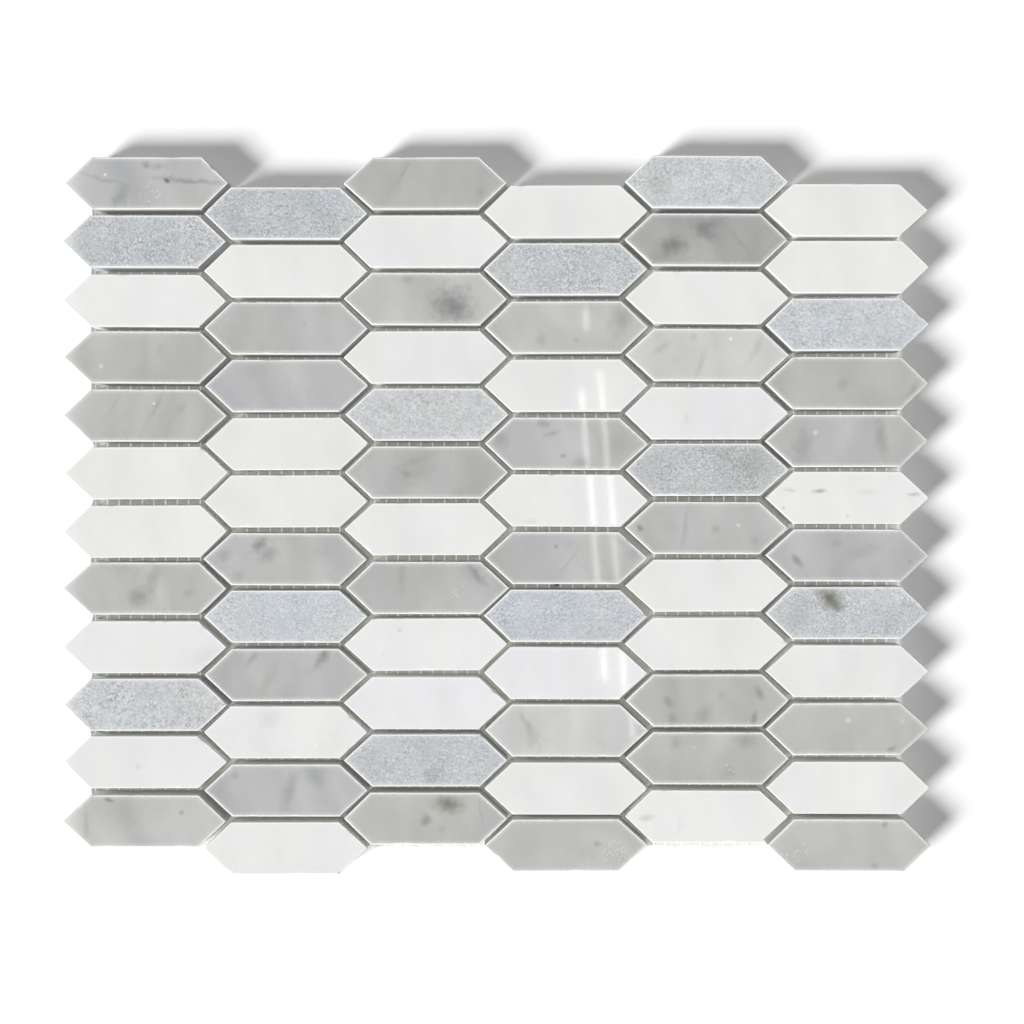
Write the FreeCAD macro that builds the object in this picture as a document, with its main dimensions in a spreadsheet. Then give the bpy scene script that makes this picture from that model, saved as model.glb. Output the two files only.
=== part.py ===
import FreeCAD, Part
import os
import random

import Sketcher

# Mosaic sheet of marble pickets. Seventy-two elongated hexagons, sawn from three marbles and
# polished, stand in six columns of twelve. Every second column sits half a row lower, so the
# pointed ends interlock. A thin adhesive film with a glass-fibre net in it joins their backs.
# The frame: +X along the pickets, +Y up the sheet, +Z out of the polished face, and the origin
# under the middle of the sheet's box, on the back face.

# Driving dimensions in millimetres, degrees and counts, each with its meaning
DIMENSIONS = (
    ("picket_length", 56.8, "between the two points, before they are blunted"),
    ("picket_width", 18.2, "between the two long edges"),
    ("tip_reach", 9.8, "how far each point stands out past the long edges"),
    ("tip_blunt", 0.3, "cut back from each point, along its two edges"),
    ("picket_thickness", 9.4, "from sawn back to polished face"),
    ("arris", 0.35, "bevel round the polished face"),
    ("joint", 1.8, "gap between neighbouring pickets"),
    ("column_creep", 0.3, "how much higher each column was laid than the one to its left"),
    ("laying_scatter", 0.22, "largest slip of most pickets along or across the sheet"),
    ("turn_scatter", 0.28, "largest turn of a picket, in degrees"),
    ("film_thickness", 0.6, "adhesive film with the net in it"),
    ("film_side_reach", 2.8, "film past the long edges of the outer columns"),
    ("film_top_reach", 1.7, "film past the upper end pickets of the even columns"),
    ("film_bottom_reach", 3.1, "film past the lower end pickets of the odd columns"),
    ("thread_pitch", 4.1, "spacing of the net's threads, both ways"),
    ("thread_thickness", 0.25, "a thread pressed flat"),
    ("upright_thread_width", 0.6, "threads that run across the pickets"),
    ("cross_thread_width", 0.5, "threads that run along the pickets"),
    ("upright_thread_count", 70, "threads across the pickets"),
    ("cross_thread_count", 56, "threads along the pickets"),
    ("tear_width", 3.0, "hole torn in the film, along the joint"),
    ("tear_height", 1.8, "the same hole, across the joint"),
    ("centre_x", 0.0, "middle of the laid sheet's box, found after laying"),
    ("centre_y", 0.0, "middle of the laid sheet's box, found after laying"),
)

# The order in which the marbles were laid, top row first, one word for each column
LAYING_ORDER = (
    "GBWGGWWGWBWG",
    "BWGGWWGBGWGW",
    "GWGWBGWGWWBG",
    "WBGWGWGBWGWG",
    "BGWGWBGWWGGW",
    "WWBGGWGBWGWG",
)

# Pickets that slid further while they were laid, by column and row: millimetres right and up
STRAYS = {
    (1, 1): (0.5, 0.85),
    (1, 2): (-0.15, 0.5),
    (1, 4): (0.0, 0.5),
    (1, 6): (0.5, 0.15),
    (1, 12): (-0.15, -0.35),
    (2, 4): (0.35, 0.15),
    (2, 5): (0.35, 0.15),
    (2, 6): (0.35, 0.15),
    (2, 11): (0.0, -0.35),
    (3, 1): (-0.35, -0.15),
    (3, 5): (0.5, 0.0),
    (3, 8): (0.35, -0.15),
    (4, 2): (-0.35, 0.0),
    (4, 4): (-0.15, -0.5),
    (4, 5): (0.15, -0.5),
    (6, 11): (0.15, -0.35),
    (6, 12): (0.5, -0.5),
}
MARBLES = {"W": "white_pickets", "G": "grey_pickets", "B": "blue_grey_pickets"}
COLUMNS = len(LAYING_ORDER)
ROWS = len(LAYING_ORDER[0])
LAYING_SEED = 7

# Odd columns stand a quarter of a row above the sheet's middle and even ones a quarter below
STAGGER = 0.25

# Sizes that follow from the driving dimensions
ROW_PITCH = "(Sizes.picket_width + Sizes.joint)"
COLUMN_PITCH = (
    "(Sizes.picket_length - Sizes.tip_reach * (Sizes.picket_width + Sizes.joint) / Sizes.picket_width"
    " + 2 * Sizes.joint * hypot(Sizes.picket_width / 2; Sizes.tip_reach) / Sizes.picket_width)"
)
LONG_EDGE = "(Sizes.picket_length - 2 * Sizes.tip_reach)"
FILM_WIDTH = f"({COLUMNS - 1} * {COLUMN_PITCH} + {LONG_EDGE} + 2 * Sizes.film_side_reach)"
LAID_HALF = f"(({ROWS - 1.5} * {ROW_PITCH} + Sizes.picket_width) / 2)"
FILM_BOTTOM = f"-({LAID_HALF} + Sizes.film_bottom_reach)"
FILM_HEIGHT = f"(2 * {LAID_HALF} + Sizes.film_top_reach + Sizes.film_bottom_reach)"
UPRIGHT_RUN = "((Sizes.upright_thread_count - 1) * Sizes.thread_pitch)"
CROSS_RUN = "((Sizes.cross_thread_count - 1) * Sizes.thread_pitch)"

# The tear lies in the joint between the seventh and eighth pickets of the fourth column,
# between two upright threads
TEAR_COLUMN = 3
TEAR_ROW = 6.5
TEAR_THREAD_GAP = 5

doc = FreeCAD.newDocument("picket_mosaic")


def make_sheet():
    """The spreadsheet of driving dimensions: name, value, meaning."""
    sheet = doc.addObject("Spreadsheet::Sheet", "Sizes")
    for row, (alias, value, meaning) in enumerate(DIMENSIONS, start=1):
        sheet.set(f"A{row}", alias)
        sheet.set(f"B{row}", str(value))
        sheet.setAlias(f"B{row}", alias)
        sheet.set(f"C{row}", meaning)
    doc.recompute()
    return sheet


def set_size(sheet, alias, value):
    """Write a new number into a named cell."""
    sheet.set(sheet.getCellFromAlias(alias), f"{value:.6f}")


def new_body(name):
    body = doc.addObject("PartDesign::Body", name)
    body.Label = name
    return body


def new_sketch(body, name, height="0"):
    """A sketch on the body's own XY plane, raised to the given height."""
    sketch = body.newObject("Sketcher::SketchObject", name)
    plane = next(item for item in body.Origin.OriginFeatures if item.Role == "XY_Plane")
    sketch.AttachmentSupport = [(plane, "")]
    sketch.MapMode = "FlatFace"
    sketch.setExpression("AttachmentOffset.Base.z", height)
    return sketch


def closed_outline(sketch, points):
    """Lines round the points, joined end to end."""
    corners = [FreeCAD.Vector(x, y, 0) for x, y in points]
    lines = [
        sketch.addGeometry(Part.LineSegment(start, end), False)
        for start, end in zip(corners, corners[1:] + corners[:1])
    ]
    for line, following in zip(lines, lines[1:] + lines[:1]):
        sketch.addConstraint(Sketcher.Constraint("Coincident", line, 2, following, 1))
    return lines


def dimension(sketch, name, expression, constraint):
    """A named sketch dimension bound to an expression."""
    index = sketch.addConstraint(constraint)
    sketch.renameConstraint(index, name)
    sketch.setExpression(f"Constraints.{name}", expression)


def rectangle(sketch, left, bottom, width, height):
    """A rectangle whose place and size are expressions."""
    base, right, top, side = closed_outline(sketch, [(-2, -1), (3, -1), (3, 4), (-2, 4)])
    for line in (base, top):
        sketch.addConstraint(Sketcher.Constraint("Horizontal", line))
    for line in (right, side):
        sketch.addConstraint(Sketcher.Constraint("Vertical", line))
    dimension(sketch, "left", left, Sketcher.Constraint("DistanceX", -1, 1, base, 1, -2))
    dimension(sketch, "bottom", bottom, Sketcher.Constraint("DistanceY", -1, 1, base, 1, -1))
    dimension(sketch, "width", width, Sketcher.Constraint("DistanceX", base, 1, base, 2, 5))
    dimension(sketch, "height", height, Sketcher.Constraint("DistanceY", right, 1, right, 2, 5))


def extrude(body, kind, name, sketch, length, upwards=True):
    """A pad or a pocket of the sketch. A pocket's own direction is down."""
    feature = body.newObject(f"PartDesign::{kind}", name)
    feature.Profile = sketch
    feature.Type = "Length"
    feature.setExpression("Length", length)
    feature.Reversed = upwards == (kind == "Pocket")
    body.Tip = feature
    return feature


def repeat(body, feature, name, axis, run, count):
    """Copies of a feature in a straight row that is run long from first to last."""
    pattern = body.newObject("PartDesign::LinearPattern", name)
    pattern.Originals = [feature]
    pattern.Direction = (feature.Profile[0], [axis])
    pattern.setExpression("Length", run)
    pattern.setExpression("Occurrences", count)
    body.Tip = pattern
    return pattern


def make_picket_blank():
    """One picket: a pointed hexagon, its two points blunted and its polished face bevelled."""
    body = new_body("picket_blank")
    sketch = new_sketch(body, "picket_outline")
    outline = closed_outline(sketch, [(-28, 0), (-19, -9), (19, -9), (28, 0), (19, 9), (-19, 9)])
    lower_left, lower, _, upper_right, upper, _ = outline
    across, along, centre = -1, -2, (-1, 1)
    sketch.addConstraint(Sketcher.Constraint("PointOnObject", lower_left, 1, across))
    sketch.addConstraint(Sketcher.Constraint("Symmetric", lower_left, 1, upper_right, 1, *centre))
    sketch.addConstraint(Sketcher.Constraint("Symmetric", lower, 1, upper, 2, across))
    sketch.addConstraint(Sketcher.Constraint("Symmetric", lower, 2, upper, 1, across))
    sketch.addConstraint(Sketcher.Constraint("Symmetric", lower, 1, lower, 2, along))
    dimension(
        sketch, "length", "Sizes.picket_length",
        Sketcher.Constraint("DistanceX", lower_left, 1, upper_right, 1, 56),
    )
    dimension(sketch, "long_edge", LONG_EDGE, Sketcher.Constraint("DistanceX", lower, 1, lower, 2, 38))
    dimension(
        sketch, "width", "Sizes.picket_width",
        Sketcher.Constraint("DistanceY", lower, 1, upper, 2, 18),
    )
    pad = extrude(body, "Pad", "picket_thickness", sketch, "Sizes.picket_thickness")
    doc.recompute()

    tips = [
        f"Edge{number}"
        for number, edge in enumerate(pad.Shape.Edges, start=1)
        if abs(edge.CenterOfMass.y) < 1e-6 and edge.Length > 1 and abs(edge.tangentAt(0).z) > 0.9
    ]
    blunting = body.newObject("PartDesign::Chamfer", "blunted_points")
    blunting.Base = (pad, tips)
    blunting.setExpression("Size", "Sizes.tip_blunt")
    body.Tip = blunting
    doc.recompute()

    top = blunting.Shape.BoundBox.ZMax
    polished = [
        f"Face{number}"
        for number, face in enumerate(blunting.Shape.Faces, start=1)
        if abs(face.CenterOfMass.z - top) < 1e-6
    ]
    bevel = body.newObject("PartDesign::Chamfer", "bevelled_arris")
    bevel.Base = (blunting, polished)
    bevel.setExpression("Size", "Sizes.arris")
    body.Tip = bevel
    doc.recompute()
    return body


def lay_pickets(blank):
    """Lay the blank seventy-two times and gather the pickets by column and marble."""
    scatter = random.Random(LAYING_SEED)
    groups = {}
    for column, order in enumerate(LAYING_ORDER):
        for row, marble in enumerate(order):
            picket = doc.addObject("App::Link", f"picket_{column + 1}_{row + 1}")
            picket.LinkedObject = blank
            slip_x, slip_y, turn = (round(scatter.uniform(-1, 1), 2) for _ in range(3))
            stray_x, stray_y = STRAYS.get((column + 1, row + 1), (0.0, 0.0))
            across = column - (COLUMNS - 1) / 2
            up = (ROWS - 1) / 2 - row + (STAGGER if column % 2 == 0 else -STAGGER)
            picket.setExpression(
                "Placement.Base.x",
                f"{across} * {COLUMN_PITCH} + {slip_x} * Sizes.laying_scatter + {stray_x}"
                f" - Sizes.centre_x",
            )
            picket.setExpression(
                "Placement.Base.y",
                f"{up} * {ROW_PITCH} + {across} * Sizes.column_creep"
                f" + {slip_y} * Sizes.laying_scatter + {stray_y} - Sizes.centre_y",
            )
            picket.setExpression("Placement.Base.z", "Sizes.film_thickness")
            picket.setExpression("Placement.Rotation.Angle", f"{turn} * Sizes.turn_scatter * 1 deg")
            groups.setdefault(f"{MARBLES[marble]}_column_{column + 1}", []).append(picket)
    nodes = []
    for name in sorted(groups):
        node = doc.addObject("Part::Compound", name)
        node.Label = name
        node.Links = groups[name]
        nodes.append(node)
    doc.recompute()
    return nodes


def centre_on(sheet, nodes):
    """Take the middle of the laid pickets' box off every place, so that it is the origin."""
    box = FreeCAD.BoundBox()
    for node in nodes:
        box.add(node.Shape.optimalBoundingBox(False))
    set_size(sheet, "centre_x", box.Center.x)
    set_size(sheet, "centre_y", box.Center.y)
    doc.recompute()


def stand_on_centre(body):
    """The backing keeps to the lattice, so it moves with the laid pickets."""
    body.setExpression("Placement.Base.x", "-Sizes.centre_x")
    body.setExpression("Placement.Base.y", "-Sizes.centre_y")


def upright_thread_strip(body, name, height):
    """Outline of the first upright thread."""
    sketch = new_sketch(body, name, height)
    left = f"-{UPRIGHT_RUN} / 2 - Sizes.upright_thread_width / 2"
    rectangle(sketch, left, FILM_BOTTOM, "Sizes.upright_thread_width", FILM_HEIGHT)
    return sketch


def cross_thread_strip(body, name, height):
    """Outline of the first cross thread."""
    sketch = new_sketch(body, name, height)
    bottom = f"-{CROSS_RUN} / 2 - Sizes.cross_thread_width / 2"
    rectangle(sketch, f"-{FILM_WIDTH} / 2", bottom, FILM_WIDTH, "Sizes.cross_thread_width")
    return sketch


def make_film():
    """The adhesive film: its two faces are moulded round the net's threads, and it has one tear."""
    body = new_body("adhesive_film")
    stand_on_centre(body)
    outline = new_sketch(body, "film_outline")
    rectangle(outline, f"-{FILM_WIDTH} / 2", FILM_BOTTOM, FILM_WIDTH, FILM_HEIGHT)
    extrude(body, "Pad", "film_sheet", outline, "Sizes.film_thickness")

    upright = upright_thread_strip(body, "upright_strip", "Sizes.film_thickness")
    bed = extrude(body, "Pocket", "upright_bed", upright, "Sizes.thread_thickness", upwards=False)
    repeat(body, bed, "upright_beds", "H_Axis", UPRIGHT_RUN, "Sizes.upright_thread_count")

    cross = cross_thread_strip(body, "cross_strip", "0")
    bed = extrude(body, "Pocket", "cross_bed", cross, "Sizes.thread_thickness")
    repeat(body, bed, "cross_beds", "V_Axis", CROSS_RUN, "Sizes.cross_thread_count")

    tear = new_sketch(body, "tear_outline")
    top, right, slant = closed_outline(tear, [(19, -24), (22, -24), (22, -26)])
    tear.addConstraint(Sketcher.Constraint("Horizontal", top))
    tear.addConstraint(Sketcher.Constraint("Vertical", right))
    across = TEAR_COLUMN - (COLUMNS - 1) / 2
    up = (ROWS - 1) / 2 - TEAR_ROW - STAGGER
    tear_top = f"{up} * {ROW_PITCH} + {across} * Sizes.column_creep + Sizes.tear_height / 2"
    tear_left = f"{TEAR_THREAD_GAP} * Sizes.thread_pitch - Sizes.tear_width / 2"
    dimension(tear, "left", tear_left, Sketcher.Constraint("DistanceX", -1, 1, top, 1, 19))
    dimension(tear, "top", tear_top, Sketcher.Constraint("DistanceY", -1, 1, top, 1, -24))
    dimension(tear, "width", "Sizes.tear_width", Sketcher.Constraint("DistanceX", top, 1, top, 2, 3))
    dimension(tear, "height", "Sizes.tear_height", Sketcher.Constraint("DistanceY", slant, 1, top, 2, 2))
    extrude(body, "Pocket", "tear", tear, "Sizes.film_thickness")
    doc.recompute()
    return body


def make_upright_threads():
    """The net's threads across the pickets, flush with the film's front."""
    body = new_body("upright_threads")
    body.AllowCompound = True
    stand_on_centre(body)
    base = "Sizes.film_thickness - Sizes.thread_thickness"
    strip = upright_thread_strip(body, "upright_thread_outline", base)
    thread = extrude(body, "Pad", "upright_thread", strip, "Sizes.thread_thickness")
    repeat(body, thread, "upright_thread_row", "H_Axis", UPRIGHT_RUN, "Sizes.upright_thread_count")
    return body


def make_cross_threads():
    """The net's threads along the pickets, flush with the film's back."""
    body = new_body("cross_threads")
    body.AllowCompound = True
    stand_on_centre(body)
    strip = cross_thread_strip(body, "cross_thread_outline", "0")
    thread = extrude(body, "Pad", "cross_thread", strip, "Sizes.thread_thickness")
    repeat(body, thread, "cross_thread_row", "V_Axis", CROSS_RUN, "Sizes.cross_thread_count")
    return body


def check(nodes, sheet):
    """Every object recomputed cleanly, each node is valid, and the beds fit their threads."""
    for item in doc.Objects:
        if "Invalid" in item.State or "Error" in item.State:
            raise RuntimeError(f"{item.Label} failed: {item.State}")
    for node in nodes:
        if node.Shape.isNull() or not node.Shape.isValid():
            raise RuntimeError(f"{node.Label} has no valid shape")
    volumes = {node.Label: node.Shape.Volume for node in nodes}
    pickets = sum(len(node.Shape.Solids) for node in nodes if "pickets" in node.Label)
    if pickets != COLUMNS * ROWS:
        raise RuntimeError(f"{pickets} pickets were laid")
    film = next(node for node in nodes if node.Label == "adhesive_film").Shape
    backing = sum(volumes[name] for name in ("adhesive_film", "upright_threads", "cross_threads"))
    box = film.BoundBox
    tear = sheet.tear_width * sheet.tear_height / 2 * sheet.film_thickness
    plate = box.XLength * box.YLength * sheet.film_thickness - tear
    if abs(backing - plate) > 1e-3 * plate:
        raise RuntimeError(f"film and net hold {backing:.1f} mm3, not {plate:.1f}")


def main():
    sheet = make_sheet()
    pickets = lay_pickets(make_picket_blank())
    centre_on(sheet, pickets)
    nodes = pickets + [make_film(), make_upright_threads(), make_cross_threads()]
    doc.recompute()
    check(nodes, sheet)
    os.makedirs("parts", exist_ok=True)
    for node in nodes:
        node.Shape.exportStep(f"parts/{node.Label}.step")
        box = node.Shape.BoundBox
        print(
            f"{node.Label}: {len(node.Shape.Solids)} solids, {node.Shape.Volume:.0f} mm3,"
            f" {box.XLength:.2f} x {box.YLength:.2f} x {box.ZLength:.2f}"
        )


main()
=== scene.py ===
"""A flat sheet of polished marble pickets on a glass-fibre net, dressed over its CAD frame."""

import logging
import math
import random
from dataclasses import dataclass
from enum import Enum

import bmesh
import bpy
import numpy as np
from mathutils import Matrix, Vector


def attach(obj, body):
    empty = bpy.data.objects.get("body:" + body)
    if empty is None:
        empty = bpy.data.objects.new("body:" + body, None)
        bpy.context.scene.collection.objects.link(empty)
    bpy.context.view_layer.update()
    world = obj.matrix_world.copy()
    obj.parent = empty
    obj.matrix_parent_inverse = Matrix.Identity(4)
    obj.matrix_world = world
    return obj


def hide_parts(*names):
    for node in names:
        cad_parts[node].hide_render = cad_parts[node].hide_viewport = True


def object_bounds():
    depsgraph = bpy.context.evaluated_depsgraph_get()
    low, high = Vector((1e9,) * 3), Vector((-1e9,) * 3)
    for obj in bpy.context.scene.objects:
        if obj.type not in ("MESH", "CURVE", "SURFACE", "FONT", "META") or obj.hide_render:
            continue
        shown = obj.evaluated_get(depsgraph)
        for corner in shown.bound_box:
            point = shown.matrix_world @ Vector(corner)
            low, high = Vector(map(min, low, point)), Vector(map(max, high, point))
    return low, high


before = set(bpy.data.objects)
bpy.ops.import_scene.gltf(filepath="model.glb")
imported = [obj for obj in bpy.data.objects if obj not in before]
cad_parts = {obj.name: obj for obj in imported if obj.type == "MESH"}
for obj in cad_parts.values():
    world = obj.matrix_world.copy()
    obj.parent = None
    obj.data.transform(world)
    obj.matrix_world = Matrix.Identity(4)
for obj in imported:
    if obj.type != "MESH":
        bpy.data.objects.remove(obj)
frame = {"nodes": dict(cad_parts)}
CAD_LOW, CAD_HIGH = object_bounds()

MM = 0.001
Socket = bpy.types.NodeSocket
Colour = tuple[float, float, float, float]
BLACK = (0.0, 0.0, 0.0, 1.0)
WHITE = (1.0, 1.0, 1.0, 1.0)
log = logging.getLogger("picket_sheet")


def paint(red: int, green: int, blue: int) -> Colour:
    """Turn a colour written on the 0 to 255 screen scale into linear light.

    Args:
        red: Red, 0 to 255.
        green: Green, 0 to 255.
        blue: Blue, 0 to 255.

    Returns:
        The linear colour with full opacity.
    """
    parts = [value / 255 for value in (red, green, blue)]
    linear = [part / 12.92 if part <= 0.04045 else ((part + 0.055) / 1.055) ** 2.4 for part in parts]
    return (linear[0], linear[1], linear[2], 1.0)


class Wired:
    """The output of a node, with the tree that it belongs to."""

    def __init__(self, wiring: "Wiring", socket: Socket) -> None:
        """Args: wiring: the tree of the socket. socket: the output that carries the value."""
        self.wiring = wiring
        self.socket = socket


class Number(Wired):
    """One number in a node tree, used in ordinary arithmetic."""

    def maths(self, operation: str, *values: object, clamp: bool = False) -> "Number":
        """Add one Math node.

        Args:
            operation: The node's operation.
            *values: What its inputs take, in order.
            clamp: Whether the result is held between 0 and 1.

        Returns:
            The node's result.
        """
        settings = {"operation": operation, "use_clamp": clamp}
        made = self.wiring.node("ShaderNodeMath", settings, dict(enumerate(values)))
        return Number(self.wiring, made.outputs[0])

    def __add__(self, other: object) -> "Number":
        """Args: other: what is added. Returns: the sum."""
        return self.maths("ADD", self, other)

    def __radd__(self, other: object) -> "Number":
        """Args: other: what this is added to. Returns: the sum."""
        return self.maths("ADD", other, self)

    def __sub__(self, other: object) -> "Number":
        """Args: other: what is taken away. Returns: the difference."""
        return self.maths("SUBTRACT", self, other)

    def __rsub__(self, other: object) -> "Number":
        """Args: other: what this is taken from. Returns: the difference."""
        return self.maths("SUBTRACT", other, self)

    def __mul__(self, other: object) -> "Number":
        """Args: other: the factor. Returns: the product."""
        return self.maths("MULTIPLY", self, other)

    def __rmul__(self, other: object) -> "Number":
        """Args: other: the factor. Returns: the product."""
        return self.maths("MULTIPLY", other, self)

    def __truediv__(self, other: object) -> "Number":
        """Args: other: the divisor. Returns: the quotient."""
        return self.maths("DIVIDE", self, other)

    def __pow__(self, other: object) -> "Number":
        """Args: other: the exponent. Returns: the power."""
        return self.maths("POWER", self, other)

    def __abs__(self) -> "Number":
        """Returns: the number without its sign."""
        return self.maths("ABSOLUTE", self)

    def sine(self) -> "Number":
        """Returns: the sine of the number in radians."""
        return self.maths("SINE", self)

    def held(self) -> "Number":
        """Returns: the number held between 0 and 1."""
        return self.maths("ADD", self, 0.0, clamp=True)

    def rising(self, low: float, high: float) -> "Number":
        """Args: low: where the rise starts. high: where it ends. Returns: the eased rise from 0 to 1."""
        share = ((self - low) / (high - low)).held()
        return share * share * (3.0 - 2.0 * share)


class Direction(Wired):
    """A vector in a node tree, used in ordinary arithmetic."""

    def maths(self, operation: str, other: object) -> "Direction":
        """Args: operation: the node's operation. other: its second input. Returns: the node's result."""
        made = self.wiring.node("ShaderNodeVectorMath", {"operation": operation}, {0: self, 1: other})
        return Direction(self.wiring, made.outputs[0])

    def __add__(self, other: object) -> "Direction":
        """Args: other: a vector that is added. Returns: the sum."""
        return self.maths("ADD", other)

    def __mul__(self, other: object) -> "Direction":
        """Args: other: a vector of factors. Returns: the product, part by part."""
        return self.maths("MULTIPLY", other)

    def parts(self) -> tuple[Number, Number, Number]:
        """Take the vector apart.

        Returns:
            Its three numbers.
        """
        made = self.wiring.node("ShaderNodeSeparateXYZ", {}, {0: self})
        x, y, z = (Number(self.wiring, socket) for socket in made.outputs)
        return x, y, z


class Wiring:
    """A node tree as it is being built."""

    def __init__(self, tree: bpy.types.NodeTree) -> None:
        """Args: tree: the tree that takes the nodes."""
        self.tree = tree

    def node(self, kind: str, settings: dict | None = None, sockets: dict | None = None) -> bpy.types.Node:
        """Add a node, set it and join its inputs.

        Args:
            kind: The node's type name.
            settings: Its properties by name.
            sockets: What each input takes, by the input's name or number.

        Returns:
            The node.
        """
        made = self.tree.nodes.new(kind)
        for name, value in (settings or {}).items():
            setattr(made, name, value)
        for name, value in (sockets or {}).items():
            self.feed(made.inputs[name], value)
        return made

    def feed(self, socket: Socket, value: object) -> None:
        """Join a value to an input, or set the input's constant.

        Args:
            socket: The input.
            value: A wrapped socket, a bare output or a constant.
        """
        if isinstance(value, Wired):
            self.tree.links.new(value.socket, socket)
        elif isinstance(value, Socket):
            self.tree.links.new(value, socket)
        else:
            socket.default_value = value

    def vector(self, x: object, y: object, z: object) -> Direction:
        """Args: x: the first part. y: the second part. z: the third part. Returns: the vector."""
        made = self.node("ShaderNodeCombineXYZ", {}, {0: x, 1: y, 2: z})
        return Direction(self, made.outputs[0])

    def noise(
        self,
        place: Direction,
        scale: float,
        detail: float = 2.0,
        roughness: float = 0.5,
        distortion: float = 0.0,
    ) -> Number:
        """Read a soft noise field.

        Args:
            place: Where it is read.
            scale: How many swells there are in a unit of length.
            detail: How many finer layers are added.
            roughness: How strong the finer layers are.
            distortion: How far the field is bent by itself.

        Returns:
            The field, centred on a half.
        """
        inputs = {
            "Vector": place,
            "Scale": scale,
            "Detail": detail,
            "Roughness": roughness,
            "Distortion": distortion,
        }
        made = self.node("ShaderNodeTexNoise", {"noise_dimensions": "3D"}, inputs)
        return Number(self, made.outputs[0])


class ShaderWiring(Wiring):
    """The node tree of a material."""

    def attribute(self, name: str) -> Direction:
        """Args: name: the mesh attribute's name. Returns: the vector that it keeps."""
        made = self.node("ShaderNodeAttribute", {"attribute_name": name, "attribute_type": "GEOMETRY"})
        return Direction(self, made.outputs["Vector"])

    def amount(self, name: str) -> Number:
        """Args: name: the mesh attribute's name. Returns: the number that it keeps."""
        made = self.node("ShaderNodeAttribute", {"attribute_name": name, "attribute_type": "GEOMETRY"})
        return Number(self, made.outputs["Fac"])

    def place(self) -> Direction:
        """Returns: the place in the sheet's frame, in millimetres."""
        made = self.node("ShaderNodeTexCoord")
        return Direction(self, made.outputs["Object"]) * (1 / MM, 1 / MM, 1 / MM)

    def cells(self, place: Direction, scale: float) -> tuple[Number, Number]:
        """Read a field of scattered cells.

        Args:
            place: Where it is read.
            scale: How many cells there are in a unit of length.

        Returns:
            The distance to the nearest cell's middle, and a random number of that cell.
        """
        made = self.node("ShaderNodeTexVoronoi", {"feature": "F1"}, {"Vector": place, "Scale": scale})
        chance = Direction(self, made.outputs["Color"]).parts()[0]
        return Number(self, made.outputs["Distance"]), chance

    def blend(self, share: object, first: object, second: object, mode: str = "MIX") -> Socket:
        """Mix two colours.

        Args:
            share: How much of the second one there is.
            first: The first colour.
            second: The second colour.
            mode: How the two are mixed.

        Returns:
            The mixed colour.
        """
        settings = {"data_type": "RGBA", "blend_type": mode, "clamp_factor": True}
        made = self.node("ShaderNodeMix", settings, {0: share, 6: first, 7: second})
        return made.outputs[2]

    def surface(self, **inputs: object) -> None:
        """End the tree in a Principled surface.

        Args:
            **inputs: What the surface's inputs take, with underscores for spaces.
        """
        named = {name.replace("_", " "): value for name, value in inputs.items()}
        made = self.node("ShaderNodeBsdfPrincipled", {}, named)
        self.node("ShaderNodeOutputMaterial", {}, {"Surface": made.outputs[0]})

    def bump(self, height: Number, distance: float) -> Socket:
        """Args: height: the relief. distance: the millimetres for a relief of 1. Returns: the normal."""
        inputs = {"Strength": 1.0, "Distance": distance * MM, "Height": height}
        return self.node("ShaderNodeBump", {}, inputs).outputs[0]

    def glow(self, share: Number, colour: Colour) -> dict[str, object]:
        """Args: share: how much shines through. colour: its colour. Returns: what the surface takes."""
        return {"Emission_Color": self.blend(share, BLACK, colour), "Emission_Strength": 1.0}


def new_material(name: str) -> tuple[bpy.types.Material, ShaderWiring]:
    """Make an empty material.

    Args:
        name: The material's name.

    Returns:
        The material and its empty tree.
    """
    material = bpy.data.materials.new(name)
    material.use_nodes = True
    material.node_tree.nodes.clear()
    return material, ShaderWiring(material.node_tree)


class Marble(Enum):
    """The three marbles by the start of their CAD nodes' names."""

    WHITE = "white"
    GREY = "grey"
    BLUE_GREY = "blue_grey"


class Cast(Enum):
    """The tint of one picket: how warm it is, from cool at -1 to cream at 1."""

    CREAM = 1.0
    PLAIN = 0.0
    COOL = -1.0


class Tone(Enum):
    """How deep the colour of one picket is against the rest of its marble."""

    PALE = -0.28
    FAIR = -0.11
    LIGHT = -0.06
    USUAL = 0.0
    DUSKY = 0.05
    DARK = 0.10
    DEEP = 0.28


class MarkKind(Enum):
    """A kind of natural mark: its ragged edge, its waver in millimetres and its share of stain colour."""

    CLOUD = (0.52, 0.0, 0.0)
    STAIN = (0.52, 0.0, 0.85)
    VEIN = (0.36, 3.4, 0.2)
    GLINTS = (0.9, 0.0, 0.0)
    FLECK = (0.2, 0.0, 0.0)

    @property
    def pale(self) -> bool:
        """Returns: whether the mark is lighter than the stone."""
        return self in (MarkKind.GLINTS, MarkKind.FLECK)


@dataclass(frozen=True)
class StoneMark:
    """One natural mark: place and radius in millimetres, depth, stretch along its axis, turn in degrees."""

    kind: MarkKind
    x: float
    y: float
    radius: float
    depth: float
    stretch: float = 1.0
    turn: float = 0.0


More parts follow.
